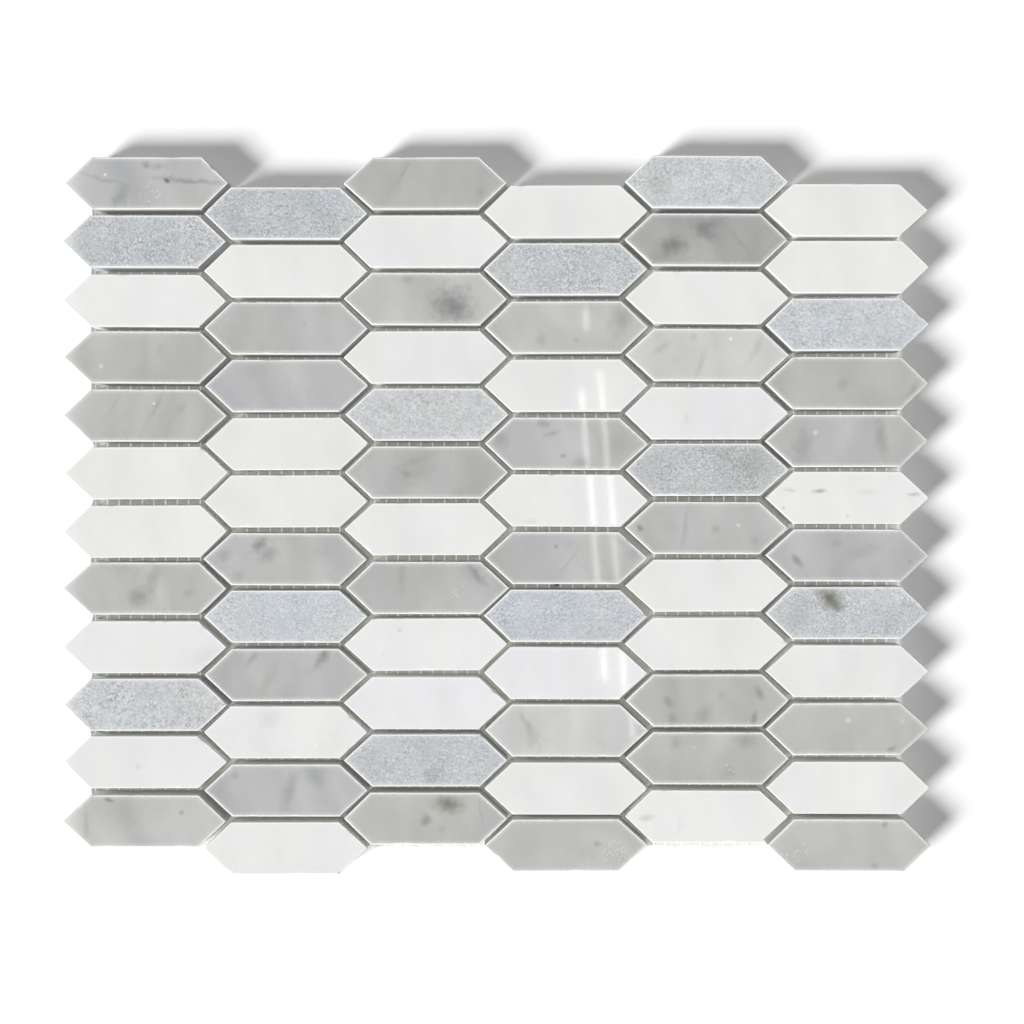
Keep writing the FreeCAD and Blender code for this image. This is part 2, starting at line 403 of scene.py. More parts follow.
# The pickets that the photo shows tinted or toned, by column from the left and row from the top.
WARM_PICKETS = {
    (1, 4), (1, 5), (1, 6), (1, 7), (1, 8), (2, 2), (2, 5), (2, 6), (3, 1), (3, 3), (3, 5), (3, 12), (4, 1),
    (4, 2), (4, 3), (4, 12), (5, 1), (5, 2), (5, 3), (5, 4), (5, 6), (5, 10), (5, 11), (6, 1), (6, 2),
    (6, 4), (6, 10), (6, 12),
}
COOL_PICKETS = {
    (1, 1), (1, 2), (1, 9), (1, 11), (2, 4), (2, 8), (2, 9), (2, 11), (3, 2), (3, 4), (3, 10), (4, 8),
    (4, 9), (5, 5), (6, 3), (6, 5), (6, 7),
}
TONE_PICKETS = {
    Tone.PALE: {(4, 10), (5, 4)},
    Tone.FAIR: {(1, 12)},
    Tone.LIGHT: {
        (1, 3), (1, 8), (1, 10), (2, 8), (3, 3), (3, 5), (3, 9), (3, 10),
        (4, 3), (4, 12), (5, 1), (5, 12), (6, 3), (6, 10), (6, 11), (6, 12),
    },
    Tone.DUSKY: {
        (1, 2), (1, 5), (2, 5), (2, 6), (2, 9), (3, 1), (3, 4),
        (3, 6), (3, 8), (4, 2), (4, 4), (5, 10), (6, 4), (6, 7),
    },
    Tone.DARK: {(2, 1), (5, 6)},
    Tone.DEEP: {(5, 2)},
}

# After its kind, each row gives a mark's place across and along, radius, depth, stretch and turn.
MARK_GROUPS = (
    (MarkKind.VEIN, (-107.0, 115.8, 1.0, 0.55, 11.0, -4), (-137.5, 116.6, 0.9, 0.28, 9.0, -14)),
    (MarkKind.STAIN, (-121.4, 121.3, 1.5, 0.50), (-114.4, 115.9, 0.8, 0.95, 1.5, -40)),
    (MarkKind.CLOUD, (-130.8, 110.3, 2.4, 0.50, 1.9, 60), (-117.4, 120.7, 1.1, 0.35, 2.0, 10)),
    (MarkKind.GLINTS, (-120.5, 111.6, 3.4, 1.0)),
    (MarkKind.FLECK, (-135.8, 118.0, 0.55, 0.9)),
    (MarkKind.CLOUD, (-116.8, 57.5, 1.6, 0.14)),
    (MarkKind.FLECK, (-137.2, 51.6, 0.8, 0.5)),
    (MarkKind.VEIN, (-133.0, 38.0, 1.0, 0.16, 5.0, 62), (-118.2, 38.0, 1.0, 0.28, 5.0, 66)),
    (MarkKind.CLOUD, (-109.3, 37.2, 1.3, 0.22, 1.6, 40)),
    (MarkKind.FLECK, (-118.8, 38.6, 0.55, 0.7)),
    (
        MarkKind.CLOUD,
        (-124.2, -28.4, 3.2, 0.56, 1.2, 0), (-119.4, -22.4, 2.4, 0.36, 2.6, 68),
        (-106.8, -27.0, 1.6, 0.28, 1.5, 35),
    ),
    (MarkKind.STAIN, (-134.6, -98.7, 0.8, 0.75, 2.4, -22), (-109.3, -103.2, 0.9, 0.5)),
    (MarkKind.VEIN, (-142.4, -107.4, 1.0, 0.24, 5.5, 86)),
    (
        MarkKind.CLOUD,
        (-127.0, -102.0, 6.0, 0.18, 2.0, 0), (-89.0, 65.5, 4.6, 0.16, 1.9, 72), (-66.8, 66.2, 1.2, 0.18),
        (-82.2, -10.3, 2.0, 0.72, 1.6, 38), (-79.2, -13.6, 2.6, 0.46, 1.4, 20),
        (-94.5, -14.0, 2.0, 0.42, 1.4, 40), (-89.6, -20.8, 2.2, 0.24),
    ),
    (MarkKind.STAIN, (-59.9, -48.4, 1.9, 0.66, 1.4, 56)),
    (
        MarkKind.CLOUD,
        (-61.6, -51.4, 1.4, 0.40, 1.8, 60), (-84.6, -49.6, 1.2, 0.32, 3.4, 54),
        (-79.0, -57.0, 2.0, 0.22, 3.6, 62), (-71.8, -95.4, 2.3, 0.38, 2.9, 74),
        (-63.2, -90.6, 3.0, 0.3, 1.5, -32), (-90.5, -90.6, 1.4, 0.34),
    ),
    (MarkKind.VEIN, (-32.8, 118.6, 0.9, 0.26, 5.0, 62)),
    (
        MarkKind.CLOUD,
        (-36.0, 114.0, 3.2, 0.18, 3.0, 58), (-5.4, 111.6, 1.7, 0.26), (-15.3, 72.7, 5.9, 0.82, 1.2, -34),
        (-13.6, 71.4, 2.8, 0.40), (-30.9, 81.8, 1.6, 0.30, 1.3, 10), (-9.8, 79.4, 1.4, 0.24),
        (-31.6, 14.2, 1.5, 0.36), (-29.6, 14.6, 5.2, 0.28, 1.3, 38), (-13.4, 7.5, 1.9, 0.20, 1.4, 10),
    ),
    (MarkKind.VEIN, (-26.0, 19.6, 1.0, 0.16, 6.0, 18), (-7.0, -20.6, 1.2, 0.5, 4.6, -50)),
    (MarkKind.CLOUD, (-8.4, -20.4, 3.0, 0.30, 1.6, -45), (-33.0, -22.0, 1.6, 0.26, 3.8, 88)),
    (MarkKind.GLINTS, (-13.4, -26.4, 2.5, 1.0)),
    (MarkKind.STAIN, (-16.9, -100.3, 2.8, 0.8, 1.8, -8)),
    (MarkKind.CLOUD, (-24.6, -106.0, 1.8, 0.62, 1.2, 60)),
    (MarkKind.STAIN, (-0.2, -102.3, 0.5, 0.9)),
    (MarkKind.VEIN, (-5.4, -103.0, 0.5, 0.22, 11.0, -82)),
    (
        MarkKind.CLOUD,
        (-19.0, -109.0, 1.6, 0.18), (43.6, 68.6, 4.0, 0.46, 1.5, 60), (15.5, 60.8, 2.0, 0.32),
        (27.6, 60.7, 1.0, 0.25), (16.0, 32.0, 1.8, 0.42, 1.4, -20), (19.2, 28.2, 1.1, 0.32, 2.8, 12),
        (0.6, 27.0, 2.5, 0.44, 1.5, -50), (29.6, 17.8, 2.8, 0.42, 1.2, 0), (23.1, 20.4, 0.7, 0.50, 1.8, 0),
        (42.5, 24.0, 5.0, 0.20, 1.2, 0),
    ),
    (MarkKind.STAIN, (20.6, -10.9, 0.8, 0.42)),
    (MarkKind.VEIN, (24.5, -17.0, 0.6, 0.20, 9.0, 45)),
    (MarkKind.CLOUD, (48.3, -12.6, 2.2, 0.30, 1.6, 40)),
    (MarkKind.VEIN, (9.4, -71.0, 0.9, 0.26, 4.0, -66)),
    (
        MarkKind.CLOUD,
        (11.8, -75.6, 1.8, 0.26, 2.4, -82), (14.0, -73.0, 8.0, 0.12), (34.8, -114.0, 1.2, 0.38),
        (10.0, -115.0, 6.0, 0.12),
    ),
    (MarkKind.GLINTS, (40.6, -117.0, 4.2, 0.9)),
    (
        MarkKind.CLOUD,
        (61.0, 93.5, 3.0, 0.8, 1.6, -4), (71.6, 98.9, 2.8, 0.78, 1.7, -30),
        (74.5, 100.8, 2.2, 0.44, 2.2, 28), (58.0, 91.0, 2.8, 0.40, 2.6, 38),
    ),
    (MarkKind.VEIN, (84.0, 95.0, 1.2, 0.20, 6.0, -52)),
    (MarkKind.CLOUD, (57.0, 57.8, 1.4, 0.24, 2.8, 36)),
    (MarkKind.VEIN, (70.6, 52.0, 1.1, 0.2, 5.0, 70), (89.8, 57.8, 1.2, 0.2, 5.0, 62)),
    (MarkKind.CLOUD, (68.4, 61.6, 1.3, 0.2)),
    (MarkKind.FLECK, (81.1, 61.0, 0.6, 1.0)),
    (MarkKind.VEIN, (65.3, -4.6, 0.9, 0.24, 9.0, 83)),
    (MarkKind.STAIN, (49.8, -4.7, 1.0, 0.6, 1.4, -50)),
    (MarkKind.CLOUD, (75.8, -5.0, 1.4, 0.3, 1.3, 20), (89.6, -9.0, 1.4, 0.26)),
    (MarkKind.FLECK, (83.8, -3.6, 0.6, 0.6)),
    (
        MarkKind.CLOUD,
        (59.5, -64.8, 1.5, 0.42, 1.6, -52), (60.8, -71.0, 1.9, 0.45), (71.6, -69.6, 2.8, 0.32, 1.5, 60),
    ),
    (MarkKind.STAIN, (91.0, -61.6, 1.5, 0.45, 1.7, -60), (89.3, -70.6, 1.1, 0.5, 2.2, 80)),
    (
        MarkKind.CLOUD,
        (78.2, -62.4, 1.5, 0.22), (62.0, -78.8, 1.9, 0.34, 1.3, 80), (86.4, -78.2, 2.6, 0.36, 1.6, -10),
        (80.6, -89.4, 2.4, 0.24),
    ),
    (MarkKind.GLINTS, (80.8, -88.8, 3.0, 0.7), (69.6, -81.2, 1.6, 1.0)),
    (MarkKind.CLOUD, (119.8, 45.2, 1.7, 0.26, 1.6, 45)),
    (MarkKind.VEIN, (144.2, 43.6, 0.9, 0.26, 5.0, 52)),
    (MarkKind.CLOUD, (106.2, 24.2, 3.0, 0.34, 2.4, 84), (133.4, 26.6, 2.0, 0.36, 3.8, -78)),
    (MarkKind.FLECK, (110.5, 28.5, 0.9, 0.45)),
    (
        MarkKind.CLOUD,
        (104.2, -15.8, 1.2, 0.62, 2.6, -45), (127.5, -12.2, 2.6, 0.24, 2.6, 20),
        (118.0, -9.8, 1.4, 0.22, 1.4, 0),
    ),
    (MarkKind.STAIN, (143.2, -16.2, 0.7, 0.30)),
    (MarkKind.FLECK, (121.8, -71.2, 1.0, 0.42), (140.5, -71.5, 0.9, 0.25)),
    (MarkKind.STAIN, (136.8, -81.2, 0.9, 0.55, 1.8, 22)),
    (MarkKind.CLOUD, (134.6, -107.3, 1.1, 0.5, 1.3, 60), (131.0, -121.8, 1.6, 0.26)),
    (MarkKind.GLINTS, (105.8, -117.2, 2.8, 1.0), (100.2, -118.8, 1.8, 1.0)),
    (
        MarkKind.STAIN,
        (112.0, 8.3, 0.8, 0.66, 3.2, 4), (144.6, 7.1, 0.7, 0.52, 3.0, 2), (101.6, 8.6, 0.8, 0.30, 2.6, -8),
        (99.5, 2.4, 0.6, 0.38), (121.6, -0.4, 0.5, 0.36), (128.6, 8.0, 1.0, 0.14, 3.0, 0),
        (51.8, -105.2, 1.2, 0.30, 2.4, 8),
    ),
    (MarkKind.VEIN, (63.2, -108.5, 0.8, 0.14, 4.0, 86)),
    (MarkKind.CLOUD, (-78.8, -70.8, 3.0, 0.26, 1.4, 0)),
    (MarkKind.FLECK, (-63.0, -80.2, 0.6, 0.9)),
    (MarkKind.STAIN, (-33.6, -40.0, 0.7, 0.26), (-39.4, -48.2, 0.7, 0.14)),
    (
        MarkKind.CLOUD,
        (-124.4, -87.4, 0.9, 0.30), (-101.0, -49.0, 3.0, 0.24, 2.0, 20), (12.0, -2.6, 1.4, 0.26, 1.8, 10),
    ),
    (
        MarkKind.STAIN,
        (65.8, 33.4, 1.0, 0.16, 1.8, 80), (115.6, -29.2, 3.5, 0.98, 1.5, -46),
        (117.6, -31.6, 1.7, 0.50, 1.4, -46),
    ),
    (MarkKind.CLOUD, (106.0, -33.0, 4.0, 0.22, 1.6, 60), (136.6, -38.0, 3.6, 0.20, 1.4, 30)),
    (MarkKind.STAIN, (-22.4, -90.4, 3.0, 0.26, 1.1, 80), (56.0, 115.0, 3.6, 0.28, 1.2, -30)),
    (MarkKind.CLOUD, (62.0, 119.0, 2.6, 0.16)),
    (MarkKind.STAIN, (89.0, 17.0, 6.0, 0.22, 1.3, 30), (80.0, 20.6, 2.2, 0.24, 1.4, -30)),
)
STONE_MARKS = [StoneMark(kind, *row) for kind, *rows in MARK_GROUPS for row in rows]


@dataclass(frozen=True)
class Lie:
    """Where one picket of the CAD lies, in metres and radians, and its place in the lattice."""

    node: str
    column: int
    row: int
    x: float
    y: float
    turn: float
    low: float
    high: float

    @property
    def marble(self) -> Marble:
        """Returns: the picket's marble."""
        return Marble(self.node.split("_pickets")[0])

    @property
    def cast(self) -> Cast:
        """Look up the picket's tint.

        Returns:
            The tint.
        """
        if (self.column, self.row) in WARM_PICKETS:
            return Cast.CREAM
        if (self.column, self.row) in COOL_PICKETS:
            return Cast.COOL
        return Cast.PLAIN

    @property
    def tone(self) -> Tone:
        """Returns: the depth of the picket's colour."""
        place = (self.column, self.row)
        return next((tone for tone, places in TONE_PICKETS.items() if place in places), Tone.USUAL)

    def to_sheet(self, points: np.ndarray) -> np.ndarray:
        """Carry points from the picket's own axes into the sheet's frame.

        Args:
            points: Rows of x, y and z, measured from the picket's middle.

        Returns:
            The same points in the sheet's frame.
        """
        cosine, sine = math.cos(self.turn), math.sin(self.turn)
        x = self.x + points[:, 0] * cosine - points[:, 1] * sine
        y = self.y + points[:, 0] * sine + points[:, 1] * cosine
        return np.stack([x, y, points[:, 2]], axis=1)


class SheetPlan:
    """Every picket's place, read from copies of the CAD nodes."""

    def __init__(self, nodes: dict[str, bpy.types.Object]) -> None:
        """Read the plan.

        Args:
            nodes: The CAD nodes by name.
        """
        found: list[tuple[str, int, np.ndarray]] = []
        for name in sorted(nodes):
            if "_pickets_column_" in name:
                column = int(name.rsplit("_", 1)[1])
                found += [(name, column, corners) for corners in self.islands(nodes[name].data)]
        self.lies: list[Lie] = []
        for column in sorted({entry[1] for entry in found}):
            members = [entry for entry in found if entry[1] == column]
            members.sort(key=lambda entry: -entry[2][:, 1].mean())
            for row, (name, _, corners) in enumerate(members, start=1):
                self.lies.append(self.lie_of(name, column, row, corners))

    def column_middles(self) -> list[float]:
        """Returns: how far across the middle of each column lies, in metres."""
        columns = sorted({lie.column for lie in self.lies})
        return [float(np.mean([lie.x for lie in self.lies if lie.column == column])) for column in columns]

    @staticmethod
    def islands(mesh: bpy.types.Mesh) -> list[np.ndarray]:
        """Split a mesh into its separate solids.

        Args:
            mesh: The CAD node's mesh, which is left as it is.

        Returns:
            The corners of each solid.
        """
        work = bmesh.new()
        work.from_mesh(mesh)
        bmesh.ops.remove_doubles(work, verts=work.verts, dist=1e-6)
        left = set(work.verts)
        groups = []
        while left:
            edge_of_search = [left.pop()]
            group = []
            while edge_of_search:
                vertex = edge_of_search.pop()
                group.append(tuple(vertex.co))
                for edge in vertex.link_edges:
                    other = edge.other_vert(vertex)
                    if other in left:
                        left.remove(other)
                        edge_of_search.append(other)
            groups.append(np.array(group))
        work.free()
        return groups

    @staticmethod
    def lie_of(name: str, column: int, row: int, corners: np.ndarray) -> Lie:
        """Find a picket's middle and turn from its corners.

        Args:
            name: The CAD node's name.
            column: The column's number.
            row: The row's number in the column.
            corners: The corners of the solid.

        Returns:
            The picket's place.
        """
        middle = corners[:, :2].mean(axis=0)
        _, axes = np.linalg.eigh(np.cov((corners[:, :2] - middle).T))
        along = axes[:, 1] if axes[0, 1] > 0 else -axes[:, 1]
        turn = math.atan2(along[1], along[0])
        low, high = corners[:, 2].min(), corners[:, 2].max()
        return Lie(name, column, row, float(middle[0]), float(middle[1]), turn, float(low), float(high))


@dataclass(frozen=True)
class Ring:
    """One level of a picket's skin: its height, its inset, the share of nicks it takes and its rim value."""

    height: float
    inset: float
    nicked: float
    rim: float


@dataclass(frozen=True)
class PicketCut:
    """The sizes of a picket, in millimetres. Its lifts are slopes."""

    length: float = 56.8
    width: float = 18.2
    reach: float = 9.8
    reach_spread: tuple[float, float] = (-0.5, 0.3)
    tip_radius: float = 0.26
    tip_spread: float = 0.16
    corner_radius: float = 0.22
    arris: float = 0.24
    back_arris: float = 0.15
    edge_step: float = 0.9
    face_insets: tuple[float, float, float] = (1.2, 2.6, 5.0)
    tip_samples: int = 7
    corner_samples: int = 3
    lift_along: float = 0.0006
    lift_across: float = 0.0011
    nick: tuple[float, float] = (0.06, 0.22)

    def corners(self, inset: float, reaches: tuple[float, float]) -> list[np.ndarray]:
        """Place the six corners of the outline moved inwards.

        Args:
            inset: How far each edge is moved in.
            reaches: How far the right and the left point stand out.

        Returns:
            The corners, counter-clockwise from the right point.
        """
        half, side = self.length / 2, self.width / 2
        placed = []
        for reach, sign in ((reaches[0], 1.0), (reaches[1], -1.0)):
            slope = math.hypot(reach, side)
            tip = half - inset * slope / side
            shoulder = half - reach - inset * (slope - reach) / side
            placed.append((sign, tip, shoulder))
        (_, right_tip, right), (_, left_tip, left) = placed
        up = side - inset
        points = [(right_tip, 0), (right, up), (-left, up), (-left_tip, 0), (-left, -up), (right, -up)]
        return [np.array(point, float) for point in points]

    def outline(
        self,
        inset: float,
        reaches: tuple[float, float],
        tip_radii: tuple[float, float],
    ) -> np.ndarray:
        """Walk round the outline with its corners rounded.

        Args:
            inset: How far each edge is moved in.
            reaches: How far the right and the left point stand out.
            tip_radii: The rounding of the right and the left point.

        Returns:
            Rows of x, y and the outward direction, the same number for every inset.
        """
        corners = self.corners(inset, reaches)
        radii = [tip_radii[0], self.corner_radius, self.corner_radius]
        radii += [tip_radii[1], self.corner_radius, self.corner_radius]
        arcs = []
        for index, corner in enumerate(corners):
            before, after = corners[index - 1], corners[(index + 1) % 6]
            to_before = (before - corner) / np.linalg.norm(before - corner)
            to_after = (after - corner) / np.linalg.norm(after - corner)
            half_angle = math.acos(float(np.clip(to_before @ to_after, -1, 1))) / 2
            radius = max(radii[index] - inset, 0.04)
            bisector = (to_before + to_after) / np.linalg.norm(to_before + to_after)
            centre = corner + bisector * radius / math.sin(half_angle)
            count = self.tip_samples if index in (0, 3) else self.corner_samples
            spread = math.pi - 2 * half_angle
            middle = math.atan2(-bisector[1], -bisector[0])
            angles = middle + np.linspace(-spread / 2, spread / 2, count)
            outward = np.stack([np.cos(angles), np.sin(angles)], axis=1)
            arcs.append((centre + outward * radius, outward))
        rows = []
        for index, (points, outward) in enumerate(arcs):
            rows.append(np.hstack([points, outward]))
            next_points = arcs[(index + 1) % 6][0]
            long_edge = index in (1, 4)
            span = self.length - 2 * self.reach if long_edge else math.hypot(self.reach, self.width / 2)
            count = round(span / self.edge_step) - 1
            share = np.linspace(0, 1, count + 2)[1:-1, None]
            straight = points[-1] * (1 - share) + next_points[0] * share
            rows.append(np.hstack([straight, np.repeat(outward[-1:], count, axis=0)]))
        return np.vstack(rows)

    def rings(self, base: float, top: float) -> list[Ring]:
        """List the levels of the skin from the back to the polished face.

        Args:
            base: Height of the back.
            top: Height of the polished face.

        Returns:
            The levels.
        """
        bevel = self.arris
        levels = [
            Ring(base, self.back_arris * 1.6, 0.0, -1.0),
            Ring(base + self.back_arris, 0.0, 0.0, -1.0),
            Ring(base + 0.35 * (top - base), 0.0, 0.0, -1.0),
            Ring(top - bevel - 1.2, 0.0, 0.0, -1.0),
            Ring(top - bevel - 0.3, 0.0, 0.1, -1.0),
            Ring(top - bevel, 0.0, 0.3, 0.0),
        ]
        for degrees in (30, 60, 90):
            angle = math.radians(degrees)
            height = top - bevel + bevel * math.sin(angle)
            levels.append(Ring(height, bevel * (1 - math.cos(angle)), 1.0, bevel * degrees / 90))
        levels.append(Ring(top, bevel + 0.2, 0.55, bevel + 0.2))
        levels += [Ring(top, inset, 0.0, inset) for inset in self.face_insets]
        return levels


def mark_names(pale: bool, slots: int) -> list[str]:
    """Args: pale: whether the marks are pale. slots: how many there may be. Returns: their attributes."""
    return [f"{'pale' if pale else 'dark'}_mark_{number}" for number in range(slots)]


class PicketCourse:
    """The pickets of one marble in one column, as one piece."""

    SEED = 4171
    DARK_SLOTS = 6
    PALE_SLOTS = 2
    FAR = 500.0

    def __init__(self, node: str, lies: list[Lie], cut: PicketCut) -> None:
        """Take the pickets of one CAD node.

        Args:
            node: The CAD node's name.
            lies: The places of its pickets.
            cut: The pickets' sizes.
        """
        self.node = node
        self.lies = lies
        self.cut = cut
        self.points: list[np.ndarray] = []
        self.faces: list[tuple[int, ...]] = []
        self.smooth: list[bool] = []
        self.values: dict[str, list[np.ndarray]] = {}

    def keep(self, name: str, values: np.ndarray) -> None:
        """Args: name: the attribute's name. values: one value or vector for each of the newest points."""
        self.values.setdefault(name, []).append(values)

    def add(self, lie: Lie) -> None:
        """Build one picket.

        Args:
            lie: The picket's place.
        """
        dice = random.Random(self.SEED + 100 * lie.column + lie.row)
        cut = self.cut
        reaches = tuple(cut.reach + dice.uniform(*cut.reach_spread) for _ in range(2))
        radii = tuple(cut.tip_radius + dice.uniform(0, cut.tip_spread) for _ in range(2))
        tilt = (dice.gauss(0, cut.lift_along), dice.gauss(0, cut.lift_across))
        sink = abs(tilt[0]) * cut.length / 2 + abs(tilt[1]) * cut.width / 2
        rings = cut.rings(lie.low / MM, lie.high / MM - sink)
        count = len(cut.outline(0.0, reaches, radii))
        nicks = self.nicks(dice, count, cut.nick)
        waves = self.waves(dice, count)
        first = sum(len(block) for block in self.points)
        levels = []
        for ring in rings:
            walk = cut.outline(ring.inset, reaches, radii)
            waver = 0.4 if ring.rim < 0 else float(ring.rim < 2)
            inward = nicks * ring.nicked + waves * waver
            place = walk[:, :2] - walk[:, 2:] * inward[:, None]
            height = np.full(count, ring.height)
            if ring.rim >= 0:
                height = height + tilt[0] * place[:, 0] + tilt[1] * place[:, 1]
            if 0 < ring.rim < 1:
                height = height - nicks * ring.nicked * 0.7
            levels.append(np.column_stack([place, height]))
        own = np.vstack(levels)
        placed = lie.to_sheet(own * MM)
        placed = np.clip(placed, (CAD_LOW.x, CAD_LOW.y, lie.low), (CAD_HIGH.x, CAD_HIGH.y, lie.high))
        self.points.append(placed)
        self.dress(lie, own, np.repeat([ring.rim for ring in rings], count), dice)
        self.skin(first, count, rings)

    @staticmethod
    def nicks(dice: random.Random, count: int, depths: tuple[float, float]) -> np.ndarray:
        """Make a few small chips along the polished edge.

        Args:
            dice: The picket's own random numbers.
            count: How many samples the outline has.
            depths: How deep the shallowest and the deepest chip go.

        Returns:
            How deep each sample is chipped, in millimetres.
        """
        depth = np.zeros(count)
        for _ in range(dice.randint(2, 5)):
            centre, reach = dice.randrange(count), dice.choice((1, 1, 1, 2))
            deep = dice.uniform(*depths)
            for offset in range(-reach, reach + 1):
                share = 1 - abs(offset) / (reach + 1)
                depth[(centre + offset) % count] = max(depth[(centre + offset) % count], deep * share)
        return depth

    @staticmethod
    def waves(dice: random.Random, count: int) -> np.ndarray:
        """Make the slow waver of a sawn edge.

        Args:
            dice: The picket's own random numbers.
            count: How many samples the outline has.

        Returns:
            How far each sample lies inwards, in millimetres.
        """
        angle = np.linspace(0, 2 * math.pi, count, endpoint=False)
        total = np.zeros(count)
        for turns in (2, 3, 5, 9, 17, 31):
            total += dice.uniform(0.2, 1.0) / turns**0.4 * np.sin(turns * angle + dice.uniform(0, 6.3))
        return 0.03 + 0.014 * total

    def dress(self, lie: Lie, own: np.ndarray, rim: np.ndarray, dice: random.Random) -> None:
        """Keep what the marble's finish reads.

        Args:
            lie: The picket's place.
            own: The points in the picket's own axes, in millimetres.
            rim: Distance from the edge of each point.
            dice: The picket's own random numbers.
        """
        count = len(own)
        turn = dice.uniform(-0.5, 0.15) + math.pi * dice.randrange(2)
        cosine, sine = math.cos(turn), math.sin(turn)
        x = own[:, 0] * cosine - own[:, 1] * sine
        y = own[:, 0] * sine + own[:, 1] * cosine
        shift = [dice.uniform(-50, 50) for _ in range(3)]
        self.keep("grain", np.column_stack([x, y, own[:, 2]]) / 10 + shift)
        self.keep("rim", rim)
        depth = dice.uniform(-0.02, 0.02) + lie.tone.value
        cast = [depth, lie.cast.value + dice.uniform(-0.3, 0.3), dice.random()]
        self.keep("cast", np.tile(cast, (count, 1)))
        here = [mark for mark in STONE_MARKS if self.holds(lie, mark)]
        for pale, slots in ((False, self.DARK_SLOTS), (True, self.PALE_SLOTS)):
            marks = [mark for mark in here if mark.kind.pale is pale][:slots]
            nothing = StoneMark(MarkKind.CLOUD, self.FAR, self.FAR, 1.0, 0.0)
            marks += [nothing] * (slots - len(marks))
            for name, mark in zip(mark_names(pale, slots), marks):
                shape = [mark.stretch, math.radians(mark.turn), mark.depth]
                look = [float(mark.kind is MarkKind.GLINTS), 0.0, 0.0] if pale else mark.kind.value
                self.keep(name, np.tile([mark.x, mark.y, mark.radius], (count, 1)))
                self.keep(f"{name}_shape", np.tile(shape, (count, 1)))
                self.keep(f"{name}_look", np.tile(look, (count, 1)))

    def holds(self, lie: Lie, mark: StoneMark) -> bool:
        """Args: lie: the picket's place. mark: the mark. Returns: whether the mark lies on the picket."""
        x, y = abs(mark.x - lie.x / MM), abs(mark.y - lie.y / MM)
        return y < self.cut.width / 2 and x < self.cut.length / 2 - y

    def skin(self, first: int, count: int, rings: list[Ring]) -> None:
        """Join the levels of a picket into faces.

        Args:
            first: Number of the picket's first point.
            count: Samples a level.
            rings: The levels.
        """
        self.faces.append(tuple(first + k for k in reversed(range(count))))
        self.smooth.append(False)
        for level in range(len(rings) - 1):
            low, high = first + level * count, first + (level + 1) * count
            rounded = rings[level].rim >= 0 and rings[level + 1].rim <= self.cut.arris + 1e-6
            for k in range(count):
                after = (k + 1) % count
                self.faces.append((low + k, low + after, high + after, high + k))
                self.smooth.append(rounded)
        last = first + (len(rings) - 1) * count
        self.faces.append(tuple(last + k for k in range(count)))
        self.smooth.append(False)

    def build(self, finish: bpy.types.Material) -> bpy.types.Object:
        """Make the piece and put it in the CAD node's place.

        Args:
            finish: The marble's material.

        Returns:
            The piece.
        """
        for lie in self.lies:
            self.add(lie)
        values = {name: np.concatenate(blocks) for name, blocks in self.values.items()}
        piece = new_piece(f"{self.node}_stones", np.vstack(self.points), self.faces, values)
        piece.data.polygons.foreach_set("use_smooth", self.smooth)
        piece.data.materials.append(finish)
        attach(piece, "root")
        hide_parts(self.node)
        return piece


def in_scene(name: str, data: bpy.types.ID) -> bpy.types.Object:
    """Put a mesh, a lamp or a camera in the scene.

    Args:
        name: The object's name.
        data: What it shows.

    Returns:
        The object.
    """
    made = bpy.data.objects.new(name, data)
    bpy.context.scene.collection.objects.link(made)
    return made


def new_piece(
    name: str,
    points: np.ndarray,
    faces: list[tuple[int, ...]],
    values: dict[str, np.ndarray] | None = None,
) -> bpy.types.Object:
    """Make a mesh object from points and faces.

    Args:
        name: The object's name.
        points: The points in metres.
        faces: The faces by the points' numbers.
        values: Numbers or vectors kept on the points, by name.

    Returns:
        The object, linked to the scene.
    """
    mesh = bpy.data.meshes.new(name)
    mesh.from_pydata(points.tolist(), [], faces)
    for label, rows in (values or {}).items():
        flat = rows.ndim == 1
        kept = mesh.attributes.new(label, "FLOAT" if flat else "FLOAT_VECTOR", "POINT")
        kept.data.foreach_set("value" if flat else "vector", rows.astype(np.float32).ravel())
    mesh.update()
    return in_scene(name, mesh)


